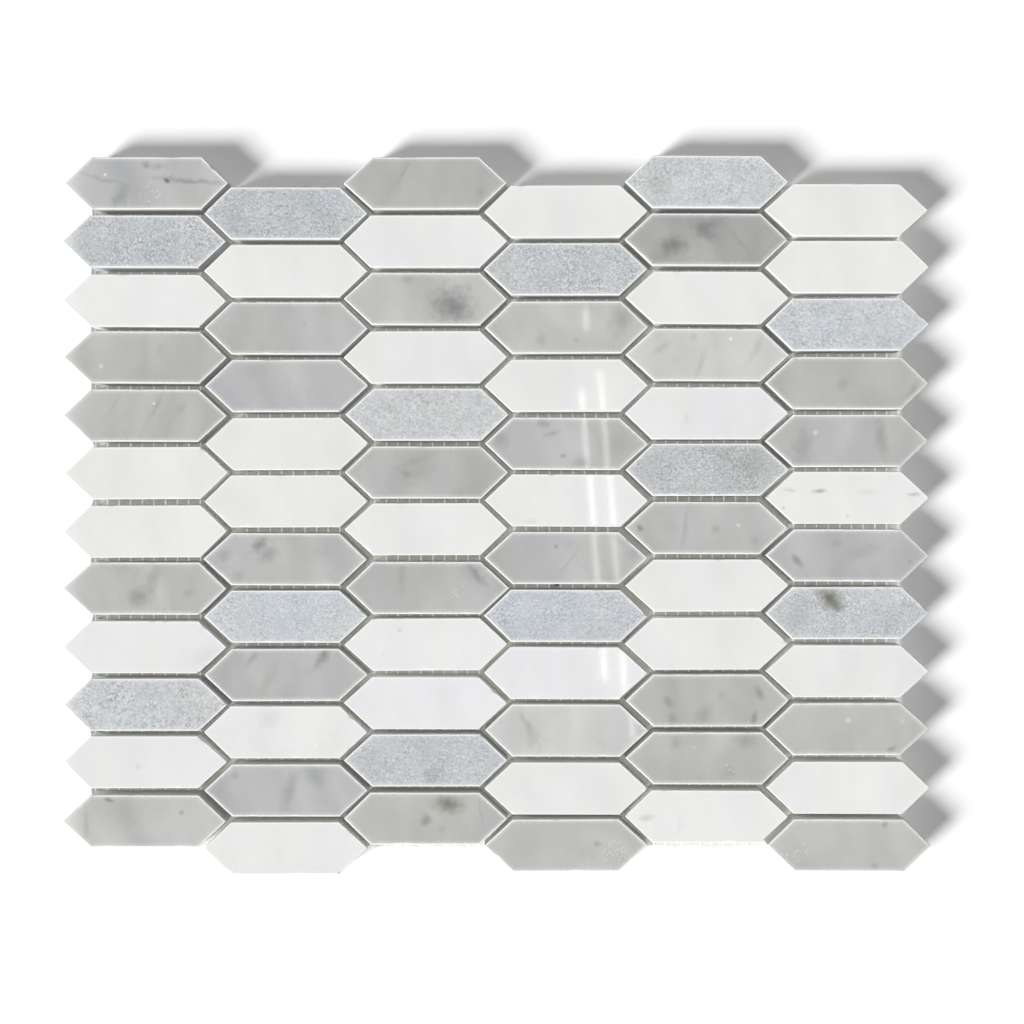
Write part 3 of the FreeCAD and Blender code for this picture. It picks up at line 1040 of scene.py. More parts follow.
@dataclass(frozen=True)
class PolishedMarble:
    """What the three marbles share: the polish, the pale ground edge with a painted highlight line beside
    it, a painted rim glow, a painted flare at the far left points, the sawn sides with a painted glow and a
    painted shade at their foot, and the marks.

    A pair of numbers says where a change starts and where it is complete, in millimetres: inwards from the
    edge for the first three, up from the table for the foot, and out from the sheet's middle for the rest.
    """

    name: str
    pale: Colour
    deep: Colour
    warm: Colour
    cool: Colour
    # edge is the pale colour of the ground arris and of the pale marks, and also of the painted highlight
    # line, the painted rim glow and the painted flare.
    edge: Colour = paint(243, 243, 242)
    smoke: Colour = paint(118, 122, 121)
    stain: Colour = paint(104, 102, 84)
    polish: float = 0.036
    rim_glow: float = 0.36
    ripple: float = 0.006
    sawn: Colour = paint(244, 244, 242)
    sawn_stain: Colour = paint(216, 215, 212)
    # foot is a painted shade low on the sawn walls, where they meet the film.
    foot: Colour = paint(150, 149, 145)
    # glow is painted light: the sawn walls shine with it as if lit through the stone.
    glow: Colour = paint(62, 61, 59)
    glowing_rim: tuple[float, float] = (0.2, 2.4)
    ground_edge_highlight: tuple[float, float] = (0.4, 0.62)
    wall: tuple[float, float] = (-0.6, -0.1)
    foot_shade_height: tuple[float, float] = (0.7, 1.3)
    past_the_net: tuple[float, float] = (137.0, 141.0)
    painted_flare_point: tuple[float, float] = (142.0, 152.0)

    def body(self, shader: ShaderWiring, grain: Direction, cast: Direction) -> Socket:
        """Args: shader: the tree. grain: the place in the block. cast: the tint. Returns: the colour."""
        raise NotImplementedError

    def tinted(self, shader: ShaderWiring, grain: Direction, warmth: Number, colour: Socket) -> Socket:
        """Tint the stone warm or cool, unevenly over the picket.

        Args:
            shader: The material's tree.
            grain: The place in the block.
            warmth: The picket's own warmth.
            colour: The colour so far.

        Returns:
            The tinted colour.
        """
        drift = (shader.noise(grain * (1.0, 0.4, 1.0) + (7.0, 3.0, 1.0), 0.62, 1.0) - 0.5) * 2.4
        share = (0.55 + warmth * 0.38 + drift).held()
        return shader.blend(1.0, colour, shader.blend(share, self.cool, self.warm), "MULTIPLY")

    def marked(
        self,
        shader: ShaderWiring,
        place: Direction,
        ragged: Number,
        waver: Number,
        name: str,
    ) -> Number:
        """Read how strong one of the picket's marks is.

        Args:
            shader: The material's tree.
            place: The place in the sheet, in millimetres.
            ragged: The uneven field that frays the marks, centred on zero.
            waver: The slow field that bends the veins, centred on zero.
            name: The attribute that keeps the mark.

        Returns:
            The strength, 0 to 1.
        """
        middle_x, middle_y, radius = shader.attribute(name).parts()
        stretch, turn, depth = shader.attribute(f"{name}_shape").parts()
        fray, bend, _ = shader.attribute(f"{name}_look").parts()
        x, y, _ = place.parts()
        cosine, sine = (turn + math.pi / 2).sine(), turn.sine()
        along = ((x - middle_x) * cosine + (y - middle_y) * sine) / stretch
        across = (y - middle_y) * cosine - (x - middle_x) * sine + waver * bend
        reach = (along * along + across * across) ** 0.5 / radius + ragged * fray
        return (1.0 - reach.rising(-0.1, 1.6)) * depth

    def with_marks(self, shader: ShaderWiring, place: Direction, colour: Socket) -> Socket:
        """Lay the picket's clouds, veins, stains and glints over its colour.

        Args:
            shader: The material's tree.
            place: The place in the sheet, in millimetres.
            colour: The colour so far.

        Returns:
            The marked colour.
        """
        ragged = (shader.noise(place, 0.4, 4.0, 0.55) - 0.5) * 2.4
        waver = shader.noise(place, 0.2, 2.0) - 0.5
        for name in mark_names(False, PicketCourse.DARK_SLOTS):
            _, _, stained = shader.attribute(f"{name}_look").parts()
            strength = self.marked(shader, place, ragged, waver, name)
            colour = shader.blend(strength, colour, shader.blend(stained, self.smoke, self.stain))
        distance, chance = shader.cells(place, 1.5)
        dots = (1.0 - distance.rising(0.1, 0.42)) * chance.rising(0.35, 0.8)
        for name in mark_names(True, PicketCourse.PALE_SLOTS):
            dotted, _, _ = shader.attribute(f"{name}_look").parts()
            strength = self.marked(shader, place, ragged, waver, name)
            crystals = dots * (strength * 2.2).held()
            colour = shader.blend(dotted * crystals + (1.0 - dotted) * strength, colour, self.edge)
        return colour

    def material(self) -> bpy.types.Material:
        """Build the material.

        Returns:
            The finished material.
        """
        material, shader = new_material(self.name)
        grain, cast, rim = shader.attribute("grain"), shader.attribute("cast"), shader.amount("rim")
        place = shader.place()
        x, _, height = place.parts()
        colour = self.body(shader, grain, cast)
        _, warmth, _ = cast.parts()
        colour = self.with_marks(shader, place, self.tinted(shader, grain, warmth, colour))
        waver = shader.noise(place, 0.9, 2.0) - 0.5
        # Painted glow: the face lightens towards its rim, as if lit through the edge.
        painted_rim_glow = 1.0 - (rim + waver * 1.2).rising(*self.glowing_rim)
        colour = shader.blend(painted_rim_glow * painted_rim_glow * self.rim_glow, colour, self.edge)
        # Painted flare: the points at the far left fade towards white.
        painted_flare = (waver * 3.0 - x).rising(*self.painted_flare_point)
        colour = shader.blend(painted_flare * 0.5, colour, self.edge)
        # Painted highlight: a pale line on the face just inside the ground arris, fainter past the net's
        # ends; the arris itself is ground pale.
        outer = (abs(x) + waver * 2.0).rising(*self.past_the_net)
        ground_and_highlight = 1.0 - (rim + waver * 0.25).rising(*self.ground_edge_highlight)
        sawn = 1.0 - rim.rising(*self.wall)
        colour = shader.blend(ground_and_highlight * (1.0 - sawn) * (1.0 - outer * 0.7), colour, self.edge)
        streaks = shader.noise(place * (0.5, 0.5, 5.0), 1.1, 4.0, 0.65)
        stone = shader.blend(streaks.rising(0.4, 0.7) * 0.5, self.sawn, self.sawn_stain)
        # Painted shade: the sawn walls darken towards their foot.
        foot_shade_share = 1.0 - (height + waver * 0.6).rising(*self.foot_shade_height)
        stone = shader.blend(foot_shade_share * 0.5, stone, self.foot)
        colour = shader.blend(sawn * 0.85, colour, stone)
        rough = self.polish + ground_and_highlight * 0.4 + sawn * 0.25
        ripple = shader.noise(place, 1.9, 1.0) * (1.0 - sawn) * self.ripple
        relief = streaks * sawn + shader.noise(place, 2.2, 3.0) * ground_and_highlight * 0.4 + ripple
        normal = shader.bump(relief, 0.12)
        # Painted glow: the sawn walls shine, more towards the face, as if lit through the stone.
        light = shader.glow(sawn * (height / 10.0).rising(-0.6, 1.0), self.glow)
        shader.surface(Base_Color=colour, Roughness=rough, Normal=normal, IOR=1.5, **light)
        return material


@dataclass(frozen=True)
class WhiteMarble(PolishedMarble):
    """Plain white marble with hardly any cloud."""

    def body(self, shader: ShaderWiring, grain: Direction, cast: Direction) -> Socket:
        """Colour the white stone.

        Args:
            shader: The material's tree.
            grain: The place in the block.
            cast: The picket's own lightness, warmth and chance.

        Returns:
            The colour.
        """
        depth, _, _ = cast.parts()
        cloud = (shader.noise(grain * (1.0, 0.5, 1.0), 0.7, 3.0) - 0.5) * 1.9
        crystals = (shader.noise(grain, 13.0, 2.0) - 0.5) * 0.7
        share = (0.45 + depth * 4.4 + cloud + crystals).held()
        return shader.blend(share, self.pale, self.deep)


@dataclass(frozen=True)
class GreyMarble(PolishedMarble):
    """Cloudy grey marble with soft veins."""

    def body(self, shader: ShaderWiring, grain: Direction, cast: Direction) -> Socket:
        """Colour the grey stone.

        Args:
            shader: The material's tree.
            grain: The place in the block.
            cast: The picket's own lightness, warmth and chance.

        Returns:
            The colour.
        """
        depth, _, chance = cast.parts()
        bands = (shader.noise(grain * (1.0, 0.42, 1.0), 0.7, 1.0, 0.5, 0.3) - 0.5) * 0.62
        smoke = (shader.noise(grain * (1.0, 0.7, 1.0), 2.0, 3.0, 0.5) - 0.5) * 0.13
        fine = (shader.noise(grain, 12.0, 3.0, 0.6) - 0.5) * 0.12
        share = (0.5 + depth + bands + smoke + fine).held()
        colour = shader.blend(share, self.pale, self.deep)
        ridge = abs(shader.noise(grain * (1.0, 0.55, 1.0), 0.8, 3.0, 0.5, 0.8) - 0.5)
        patch = shader.noise(grain + (3.0, 9.0, 4.0), 0.8, 1.0).rising(0.52, 0.7)
        vein = (1.0 - ridge.rising(0.0, 0.06)) * patch * chance
        return shader.blend(vein * 0.14, colour, self.smoke)


@dataclass(frozen=True)
class BlueGreyMarble(PolishedMarble):
    """Blue-grey marble with a fine crystalline speckle."""

    lilac: Colour = paint(254, 252, 255)
    green: Colour = paint(252, 255, 253)

    def body(self, shader: ShaderWiring, grain: Direction, cast: Direction) -> Socket:
        """Colour the blue-grey stone.

        Args:
            shader: The material's tree.
            grain: The place in the block.
            cast: The picket's own lightness, warmth and chance.

        Returns:
            The colour.
        """
        depth, _, chance = cast.parts()
        cloud = (shader.noise(grain, 1.0, 3.0, 0.55) - 0.5) * 0.42
        mottle = (shader.noise(grain, 4.5, 2.0, 0.6) - 0.5) * 0.30
        worms = shader.noise(grain, 12.0, 3.0, 0.75, 0.2).rising(0.28, 0.72) - 0.5
        patchy = shader.noise(grain + (5.0, 2.0, 8.0), 1.3, 2.0).rising(0.3, 0.7) * 0.8 + 0.6
        _, crystal = shader.cells(grain, 17.0)
        speckle = (worms * 0.59 + (crystal - 0.5) * 0.20) * patchy
        share = (0.37 + depth + cloud + mottle + speckle * (0.8 + chance * 0.4)).held()
        colour = shader.blend(share, self.pale, self.deep)
        hue = shader.noise(grain, 7.0, 3.0, 0.6).rising(0.35, 0.65)
        return shader.blend(1.0, colour, shader.blend(hue, self.lilac, self.green), "MULTIPLY")


@dataclass(frozen=True)
class FilmFinish:
    """Milky adhesive film, greyer where it is thin, with a painted shade on its left end and a painted glow
    that grows towards its right. A pair says where a change starts and is complete.
    """

    name: str = "milky_adhesive_film"
    clear: Colour = paint(206, 204, 197)
    milky: Colour = paint(240, 239, 234)
    dirt_and_shade: Colour = paint(26, 13, 11)
    shade: Colour = paint(40, 39, 37)
    upper_side: tuple[float, float] = (0.25, 0.4)
    shaded_left_end: tuple[float, float] = (-140.8, -137.6)
    milky_lit_right_end: tuple[float, float] = (136.0, 142.0)
    lit_right_side: tuple[float, float] = (92.0, 140.0)

    def material(self) -> bpy.types.Material:
        """Build the material.

        Returns:
            The finished material.
        """
        material, shader = new_material(self.name)
        place = shader.place()
        x, _, z = place.parts()
        upper = z.rising(*self.upper_side)
        mottle = shader.noise(place, 0.5, 5.0, 0.7)
        fine = shader.noise(place, 2.2, 3.0, 0.65)
        share = (mottle.rising(0.34, 0.7) * 0.5 + (fine - 0.5) * 1.3).held()
        # Towards its right end and side the film is painted milkier and glows: painted light through the
        # film, on top of its own milky end.
        milky_lit_right_end = (x + (fine - 0.5) * 6.0).rising(*self.milky_lit_right_end)
        lit_right_side = x.rising(*self.lit_right_side)
        shaded_left_end = 1.0 - (x + (fine - 0.5) * 1.5).rising(*self.shaded_left_end)
        milkiness = (share + milky_lit_right_end * 0.8 + lit_right_side * 0.3).held()
        colour = shader.blend(milkiness, self.clear, self.milky)
        # Painted shade on the upper face of the film's left end.
        colour = shader.blend(shaded_left_end * upper * 0.65, colour, self.shade)
        # Darkened towards the dark red-black: the crumb, the film round the tear, and a painted shade on the
        # glue at the pickets' feet.
        colour = shader.blend(shader.amount("dirt_and_shade"), colour, self.dirt_and_shade)
        rough = 0.42 + fine * 0.3
        normal = shader.bump(mottle * 0.6 + fine * 0.4, 0.2)
        # Painted glow of the film's upper face, strongest at its right end.
        light = shader.glow((milky_lit_right_end * 0.18 + lit_right_side * 0.045 + 0.006) * upper, self.milky)
        shader.surface(Base_Color=colour, Roughness=rough, Normal=normal, IOR=1.47, **light)
        return material


@dataclass(frozen=True)
class YarnFinish:
    """Pale glass yarns with slanting plies, a painted shade at their left end and a painted glint that glows
    brighter towards the right. A pair says where a change starts and is complete.
    """

    name: str = "glass_fibre_yarn"
    bright: Colour = paint(250, 250, 248)
    worn: Colour = paint(222, 223, 221)
    shade: Colour = paint(90, 89, 86)
    upper_side: tuple[float, float] = (0.25, 0.35)
    shaded_left_end: tuple[float, float] = (-141.0, -137.6)
    lit_right_side: tuple[float, float] = (118.0, 140.0)

    def material(self) -> bpy.types.Material:
        """Build the material.

        Returns:
            The finished material.
        """
        material, shader = new_material(self.name)
        place = shader.place()
        x, y, z = place.parts()
        plies = ((x + y) * 9.0 + z * 12.0).sine() * 0.5 + 0.5
        wear_and_glint = shader.noise(place, 1.4, 3.0)
        colour = shader.blend((plies * 0.45 + wear_and_glint * 0.5).held(), self.bright, self.worn)
        upper = z.rising(*self.upper_side)
        # Painted shade on the upper yarns at the left end.
        colour = shader.blend((1.0 - x.rising(*self.shaded_left_end)) * upper * 0.75, colour, self.shade)
        normal = shader.bump(plies, 0.02)
        # Painted glint: the upper yarns glow, more towards the right.
        share = wear_and_glint.rising(0.3, 0.7) * 0.2 + 0.1 + x.rising(*self.lit_right_side) * 0.25
        gloss = {"Coat_Weight": 1.0, "Coat_IOR": 1.9, "Coat_Roughness": 0.16}
        light = shader.glow(share * upper, self.bright)
        shader.surface(Base_Color=colour, Roughness=0.35, Normal=normal, IOR=1.55, **gloss, **light)
        return material


@dataclass(frozen=True)
class YarnSet:
    """One direction of the net, in millimetres."""

    name: str
    node: str
    count: int
    run: float
    width: float
    height: float
    seed: float
    shift: float = 0.0
    quarter_turns: int = 0
    pitch: float = 4.1
    thickness: float = 0.25
    wander: float = 0.35
    step: float = 2.2
    twist: float = 5.2


NET = (
    YarnSet("upright_yarns", "upright_threads", 70, 232.2, 0.6, height=0.475, shift=-0.6, seed=3.0),
    YarnSet("cross_yarns", "cross_threads", 56, 285.6, 0.5, height=0.125, quarter_turns=1, seed=11.0),
)


class BackingNet:
    """The glass-fibre net, laid by geometry nodes."""

    INPUTS = (
        ("Count", "NodeSocketInt"),
        ("Pitch", "NodeSocketFloat"),
        ("Run", "NodeSocketFloat"),
        ("Shift", "NodeSocketFloat"),
        ("Samples", "NodeSocketInt"),
        ("Width", "NodeSocketFloat"),
        ("Thickness", "NodeSocketFloat"),
        ("Height", "NodeSocketFloat"),
        ("Turn", "NodeSocketFloat"),
        ("Wander", "NodeSocketFloat"),
        ("Twist", "NodeSocketFloat"),
        ("Seed", "NodeSocketFloat"),
        ("Material", "NodeSocketMaterial"),
    )

    def __init__(self, finish: bpy.types.Material) -> None:
        """Args: finish: the yarns' material."""
        self.finish = finish
        self.tree = self.lay_tree()

    def lay_tree(self) -> bpy.types.NodeTree:
        """Build the nodes that lay one set of parallel yarns.

        Returns:
            The node tree.
        """
        tree = bpy.data.node_groups.new("parallel_yarns", "GeometryNodeTree")
        for name, kind in self.INPUTS:
            tree.interface.new_socket(name, in_out="INPUT", socket_type=kind)
        tree.interface.new_socket("Geometry", in_out="OUTPUT", socket_type="NodeSocketGeometry")
        wiring = Wiring(tree)
        given = wiring.node("NodeGroupInput").outputs
        number = {name: Number(wiring, given[name]) for name, _ in self.INPUTS if name != "Material"}
        half_row = (number["Count"] - 1.0) * number["Pitch"] * -0.5
        row = {
            "Count": number["Count"],
            "Start Location": wiring.vector(half_row, 0.0, 0.0),
            "Offset": wiring.vector(number["Pitch"], 0.0, 0.0),
        }
        starts = wiring.node("GeometryNodeMeshLine", {"mode": "OFFSET"}, row)
        half_run, shift = number["Run"] * 0.5, number["Shift"]
        near, far = wiring.vector(0.0, shift - half_run, 0.0), wiring.vector(0.0, shift + half_run, 0.0)
        line = wiring.node("GeometryNodeCurvePrimitiveLine", {}, {"Start": near, "End": far})
        sampled = {"Curve": line.outputs[0], "Count": number["Samples"]}
        fine = wiring.node("GeometryNodeResampleCurve", {}, sampled)
        repeated = {"Points": starts.outputs[0], "Instance": fine.outputs[0]}
        rows = wiring.node("GeometryNodeInstanceOnPoints", {}, repeated)
        real = wiring.node("GeometryNodeRealizeInstances", {}, {0: rows.outputs[0]})
        spot = Direction(wiring, wiring.node("GeometryNodeInputPosition").outputs[0])
        x, y, _ = spot.parts()
        drift = wiring.noise(wiring.vector(x * 90.0, y * 22.0, number["Seed"]), 1.0, 2.0) - 0.5
        slow = wiring.noise(wiring.vector(x * 6.0, y * 9.0, number["Seed"] + 7.0), 1.0, 1.0) - 0.5
        sideways = (drift * 1.4 + slow * 3.0) * number["Wander"]
        offset = wiring.vector(sideways, 0.0, number["Height"])
        moved = wiring.node("GeometryNodeSetPosition", {}, {"Geometry": real.outputs[0], "Offset": offset})
        swell = (y * (2 * math.pi) / number["Twist"] + x * 900.0).sine() * 0.16 + 0.84
        upright = wiring.node("GeometryNodeSetCurveNormal", {}, {"Curve": moved.outputs[0]})
        section = wiring.node("GeometryNodeCurvePrimitiveCircle", {}, {"Resolution": 6, "Radius": 0.5})
        squash = wiring.vector(number["Width"], number["Thickness"], 1.0)
        flat = wiring.node("GeometryNodeTransform", {}, {"Geometry": section.outputs[0], "Scale": squash})
        path, profile = upright.outputs[0], flat.outputs[0]
        swept = {"Curve": path, "Profile Curve": profile, "Scale": swell, "Fill Caps": True}
        yarns = wiring.node("GeometryNodeCurveToMesh", {}, swept)
        turn = wiring.vector(0.0, 0.0, number["Turn"])
        turned = wiring.node("GeometryNodeTransform", {}, {"Geometry": yarns.outputs[0], "Rotation": turn})
        joined = wiring.node("GeometryNodeRealizeInstances", {}, {0: turned.outputs[0]})
        coat = {"Geometry": joined.outputs[0], "Material": given["Material"]}
        dressed = wiring.node("GeometryNodeSetMaterial", {}, coat)
        wiring.node("NodeGroupOutput", {}, {0: dressed.outputs[0]})
        return tree

    def build(self, yarns: YarnSet) -> bpy.types.Object:
        """Lay one set of yarns and put it in its CAD node's place.

        Args:
            yarns: The set's sizes.

        Returns:
            The piece.
        """
        host = new_piece(f"{yarns.name}_laying", np.zeros((1, 3)), [])
        modifier = host.modifiers.new("lay", "NODES")
        modifier.node_group = self.tree
        chosen = {
            "Count": yarns.count,
            "Pitch": yarns.pitch * MM,
            "Run": yarns.run * MM,
            "Shift": yarns.shift * MM,
            "Samples": round(yarns.run / yarns.step),
            "Width": yarns.width * MM,
            "Thickness": yarns.thickness * MM,
            "Height": yarns.height * MM,
            "Turn": yarns.quarter_turns * math.pi / 2,
            "Wander": yarns.wander * MM,
            "Twist": yarns.twist * MM,
            "Seed": yarns.seed,
            "Material": self.finish,
        }
        for item in self.tree.interface.items_tree:
            if item.in_out == "INPUT":
                modifier[item.identifier] = chosen[item.name]
        host.update_tag()
        bpy.context.view_layer.update()
        shaped = host.evaluated_get(bpy.context.evaluated_depsgraph_get())
        mesh = bpy.data.meshes.new_from_object(shaped)
        host.modifiers.remove(modifier)
        bpy.data.objects.remove(host)
        mesh.name = yarns.name
        mesh.polygons.foreach_set("use_smooth", [True] * len(mesh.polygons))
        mesh.update()
        piece = in_scene(yarns.name, mesh)
        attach(piece, "root")
        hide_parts(yarns.node)
        return piece


@dataclass(frozen=True)
class FilmCut:
    """The sizes of the adhesive film, in millimetres. Frays and swells pair a length with a height."""

    across_step: float = 1.025
    along_step: float = 2.0
    fine_step: float = 0.45
    face: float = 0.5
    back: float = 0.12
    pool: float = 0.17
    thread_pitch: float = 4.1
    tear_x: float = 20.5
    tear_y: float = -24.85
    tear_width: float = 3.0
    tear_height: float = 1.8
    tear_surrounds: tuple[float, float] = (2.4, 1.8)
    tear_darkening: tuple[float, float] = (1.9, 1.1)
    overhang: float = 0.2
    loose_border: float = 3.0
    fray_inset: float = 0.35
    frays: tuple[tuple[float, float], ...] = ((5.0, 0.35), (1.9, 0.2))
    swells: tuple[tuple[float, float], ...] = ((9.0, 0.02), (3.0, 0.016))
    pool_slope: float = 0.8
    thinning: float = 0.12
    slack: float = 0.05
    spread: tuple[float, float] = (0.06, 0.26)
    climb: tuple[float, float] = (0.08, 0.5)
    glue_inset: float = 0.8
    crumb_shift: tuple[float, float, float] = (0.25, 0.15, 0.26)
    crumb_reach: tuple[float, float, float] = (1.25, 0.62, 0.2)
    crumb_sides: int = 9
    crumb_levels: int = 4


class AdhesiveFilm:
    """The film under the pickets: mottled, frayed at its ends, ribbed by the yarns in it and torn once."""

    SEED = 905
    # The squeezed-out glue is darkened a little as a painted shade at the pickets' feet; the film round the
    # tear is darker.
    SHADED_GLUE_FOOT = 0.1
    DARKER_ROUND_TEAR = 0.35

    def __init__(self, node: bpy.types.Object, cut: FilmCut, pickets: PicketCut, plan: SheetPlan) -> None:
        """Take the film's sizes.

        Args:
            node: The film's CAD node, which gives its outline.
            cut: The film's other sizes.
            pickets: The pickets' sizes.
            plan: The pickets' places.
        """
        corners = np.array([vertex.co[:2] for vertex in node.data.vertices]) / MM
        self.low, self.high = corners.min(axis=0), corners.max(axis=0)
        self.cut = cut
        self.pickets = pickets
        self.plan = plan
        self.dice = np.random.default_rng(self.SEED)
        self.points: list[np.ndarray] = []
        self.faces: list[tuple[int, ...]] = []
        self.dirt_and_shade: list[np.ndarray] = []

    def lines(self, axis: int, step: float, near: float, reach: float) -> np.ndarray:
        """Place grid lines, closer together round the tear.

        Args:
            axis: The direction, 0 for across and 1 for along.
            step: The usual distance.
            near: Where the tear is.
            reach: Half the stretch with closer lines.

        Returns:
            The lines in order.
        """
        low, high = self.low[axis], self.high[axis]
        usual = np.linspace(low, high, round((high - low) / step) + 1)
        usual = usual[abs(usual - near) > reach]
        close = np.linspace(near - reach, near + reach, round(2 * reach / self.cut.fine_step) + 1)
        return np.sort(np.concatenate([usual, close]))

    def swells(self, x: np.ndarray, y: np.ndarray, size: float, waves: int = 26) -> np.ndarray:
        """Add up slanting waves into a soft random relief.

        Args:
            x: Places across.
            y: Places along.
            size: The usual length of a swell.
            waves: How many waves are added.

        Returns:
            The relief, usually within -1 to 1.
        """
        total = np.zeros_like(x)
        for _ in range(waves):
            angle, phase = self.dice.uniform(0, 2 * math.pi, 2)
            pace = 2 * math.pi / (size * self.dice.uniform(0.6, 1.7))
            total += np.sin(pace * (x * math.cos(angle) + y * math.sin(angle)) + phase)
        return total / math.sqrt(waves)

    def sheet(self) -> None:
        """Build the film's two faces, its frayed border and the tear."""
        cut = self.cut
        across = self.lines(0, cut.across_step, cut.tear_x, cut.tear_surrounds[0])
        along = self.lines(1, cut.along_step, cut.tear_y, cut.tear_surrounds[1])
        x, y = np.meshgrid(across, along)
        loose = np.clip(1 - self.border(x, y) / cut.loose_border, 0, 1)
        frayed = sum(self.swells(x, y, length) * height for length, height in cut.frays)
        pull = 1 + loose * (frayed - cut.fray_inset) / np.maximum(np.hypot(x, y), 1.0)
        x, y = x * pull, y * pull
        relief = sum(self.swells(x, y, length) * height for length, height in cut.swells)
        thread = np.cos(2 * math.pi * (x / cut.thread_pitch + 0.5))
        rib = np.clip(thread, 0, 1) ** 4
        from_column = np.min([abs(x - middle / MM) for middle in self.plan.column_middles()], axis=0)
        shoulder = self.pickets.length / 2 - self.pickets.reach
        pooled = np.clip((from_column - shoulder) / cut.pool_slope, 0, 1) * (1 - loose)
        face = cut.face + relief - loose * cut.thinning + pooled * cut.pool
        back = cut.back + relief - rib * cut.slack + loose * cut.slack
        x = np.clip(x, self.low[0] - cut.overhang, self.high[0] + cut.overhang)
        y = np.clip(y, self.low[1] - cut.overhang, self.high[1] + cut.overhang)
        for height in (face, np.clip(back, 0.03, 0.3)):
            self.points.append(np.column_stack([x.ravel(), y.ravel(), height.ravel()]))
        # The film round the tear is darker.
        near = (abs(x - cut.tear_x) < cut.tear_darkening[0]) & (abs(y - cut.tear_y) < cut.tear_darkening[1])
        self.dirt_and_shade += [(near * self.DARKER_ROUND_TEAR).ravel(), np.zeros(x.size)]
        self.join_sheet(self.torn(across, along))

    def join_sheet(self, hole: np.ndarray) -> None:
        """Join the film's two faces cell by cell and close them at the border and round the tear.

        Args:
            hole: True for each cell that the tear takes away.
        """
        rows, columns = hole.shape[0] + 1, hole.shape[1] + 1
        size = rows * columns
        for row in range(rows - 1):
            for column in range(columns - 1):
                if hole[row, column]:
                    continue
                corner = row * columns + column
                ring = (corner, corner + 1, corner + columns + 1, corner + columns)
                self.faces.append(ring)
                self.faces.append(tuple(size + k for k in reversed(ring)))
                beside = ((row - 1, column), (row, column + 1), (row + 1, column), (row, column - 1))
                for turn, (next_row, next_column) in enumerate(beside):
                    inside = 0 <= next_row < rows - 1 and 0 <= next_column < columns - 1
                    if not inside or hole[next_row, next_column]:
                        a, b = ring[turn], ring[(turn + 1) % 4]
                        self.faces.append((b, a, size + a, size + b))

    def border(self, x: np.ndarray, y: np.ndarray) -> np.ndarray:
        """Args: x: places across. y: places along. Returns: their distance to the film's nearest side."""
        beside = np.minimum(x - self.low[0], self.high[0] - x)
        return np.minimum(beside, np.minimum(y - self.low[1], self.high[1] - y))

    def torn(self, across: np.ndarray, along: np.ndarray) -> np.ndarray:
        """Mark the grid cells that the tear takes away.

        Args:
            across: The grid lines across.
            along: The grid lines along.

        Returns:
            True for each cell that is gone.
        """
        cut = self.cut
        x = (across[:-1] + across[1:]) / 2 - cut.tear_x
        y = (along[:-1] + along[1:]) / 2 - cut.tear_y
        share = np.clip((x + cut.tear_width / 2) / cut.tear_width, 0, 1)[None, :]
        inside = abs(x)[None, :] < cut.tear_width / 2
        low = cut.tear_height * (0.5 - 0.95 * share)
        return inside & (y[:, None] < cut.tear_height / 2) & (y[:, None] > low)

    def squeezed_out(self) -> None:
        """Build the glue that was squeezed up round the pickets' feet."""
        cut, pickets = self.cut, self.pickets
        for lie in self.plan.lies:
            reach = (pickets.reach, pickets.reach)
            radius = (pickets.tip_radius, pickets.tip_radius)
            walk = pickets.outline(0.0, reach, radius)[::2]
            count = len(walk)
            middle = lie.to_sheet(np.column_stack([walk[:, :2] * MM, np.zeros(count)])) / MM
            inside = self.border(middle[:, 0], middle[:, 1]) > cut.glue_inset
            rough = self.dice.random(count)
            spread = np.where(inside, cut.spread[0] + cut.spread[1] * rough**2, -0.2)
            climb = np.where(inside, cut.climb[0] + cut.climb[1] * np.roll(rough, 1) ** 3, 0.0)
            foot = np.where(inside, cut.face - 0.05, lie.low / MM + 0.02)
            levels = []
            for offset, height in (
                (-0.12, lie.low / MM + 0.03 + climb),
                (spread, foot),
                (-0.3 + 0 * spread, foot),
            ):
                place = walk[:, :2] + walk[:, 2:] * np.broadcast_to(offset, count)[:, None]
                placed = lie.to_sheet(np.column_stack([place, np.broadcast_to(height, count)]) * MM) / MM
                levels.append(placed)
            first = sum(len(block) for block in self.points)
            self.points.append(np.vstack(levels))
            # Painted shade: the glue at the pickets' feet is darkened a little.
            self.dirt_and_shade.append(np.full(3 * count, self.SHADED_GLUE_FOOT))
            for level in range(3):
                low, high = first + level * count, first + (level + 1) % 3 * count
                for k in range(count):
                    after = (k + 1) % count
                    self.faces.append((low + after, low + k, high + k, high + after))

    def crumb(self) -> None:
        """Build the dark crumb that hangs in the tear and darkens it."""
        cut = self.cut
        first = sum(len(block) for block in self.points)
        sides, levels = cut.crumb_sides, cut.crumb_levels
        middle = np.array([cut.tear_x, cut.tear_y, 0.0]) + cut.crumb_shift
        rows = []
        for level in range(levels):
            turn = math.pi * (level + 0.5) / levels
            for side in range(sides):
                angle = 2 * math.pi * side / sides
                swell = 1 + 0.22 * self.dice.uniform(-1, 1)
                wide = swell * math.sin(turn)
                way = np.array([wide * math.cos(angle), wide * math.sin(angle), math.cos(turn)])
                rows.append(middle + way * cut.crumb_reach)
        self.points.append(np.array(rows))
        self.dirt_and_shade.append(np.ones(len(rows)))
        for level in range(levels - 1):
            for side in range(sides):
                after = (side + 1) % sides
                high, low = first + level * sides, first + (level + 1) * sides
                self.faces.append((high + side, low + side, low + after, high + after))
        self.faces.append(tuple(first + side for side in range(sides)))
        last = first + (levels - 1) * sides
        self.faces.append(tuple(last + side for side in reversed(range(sides))))

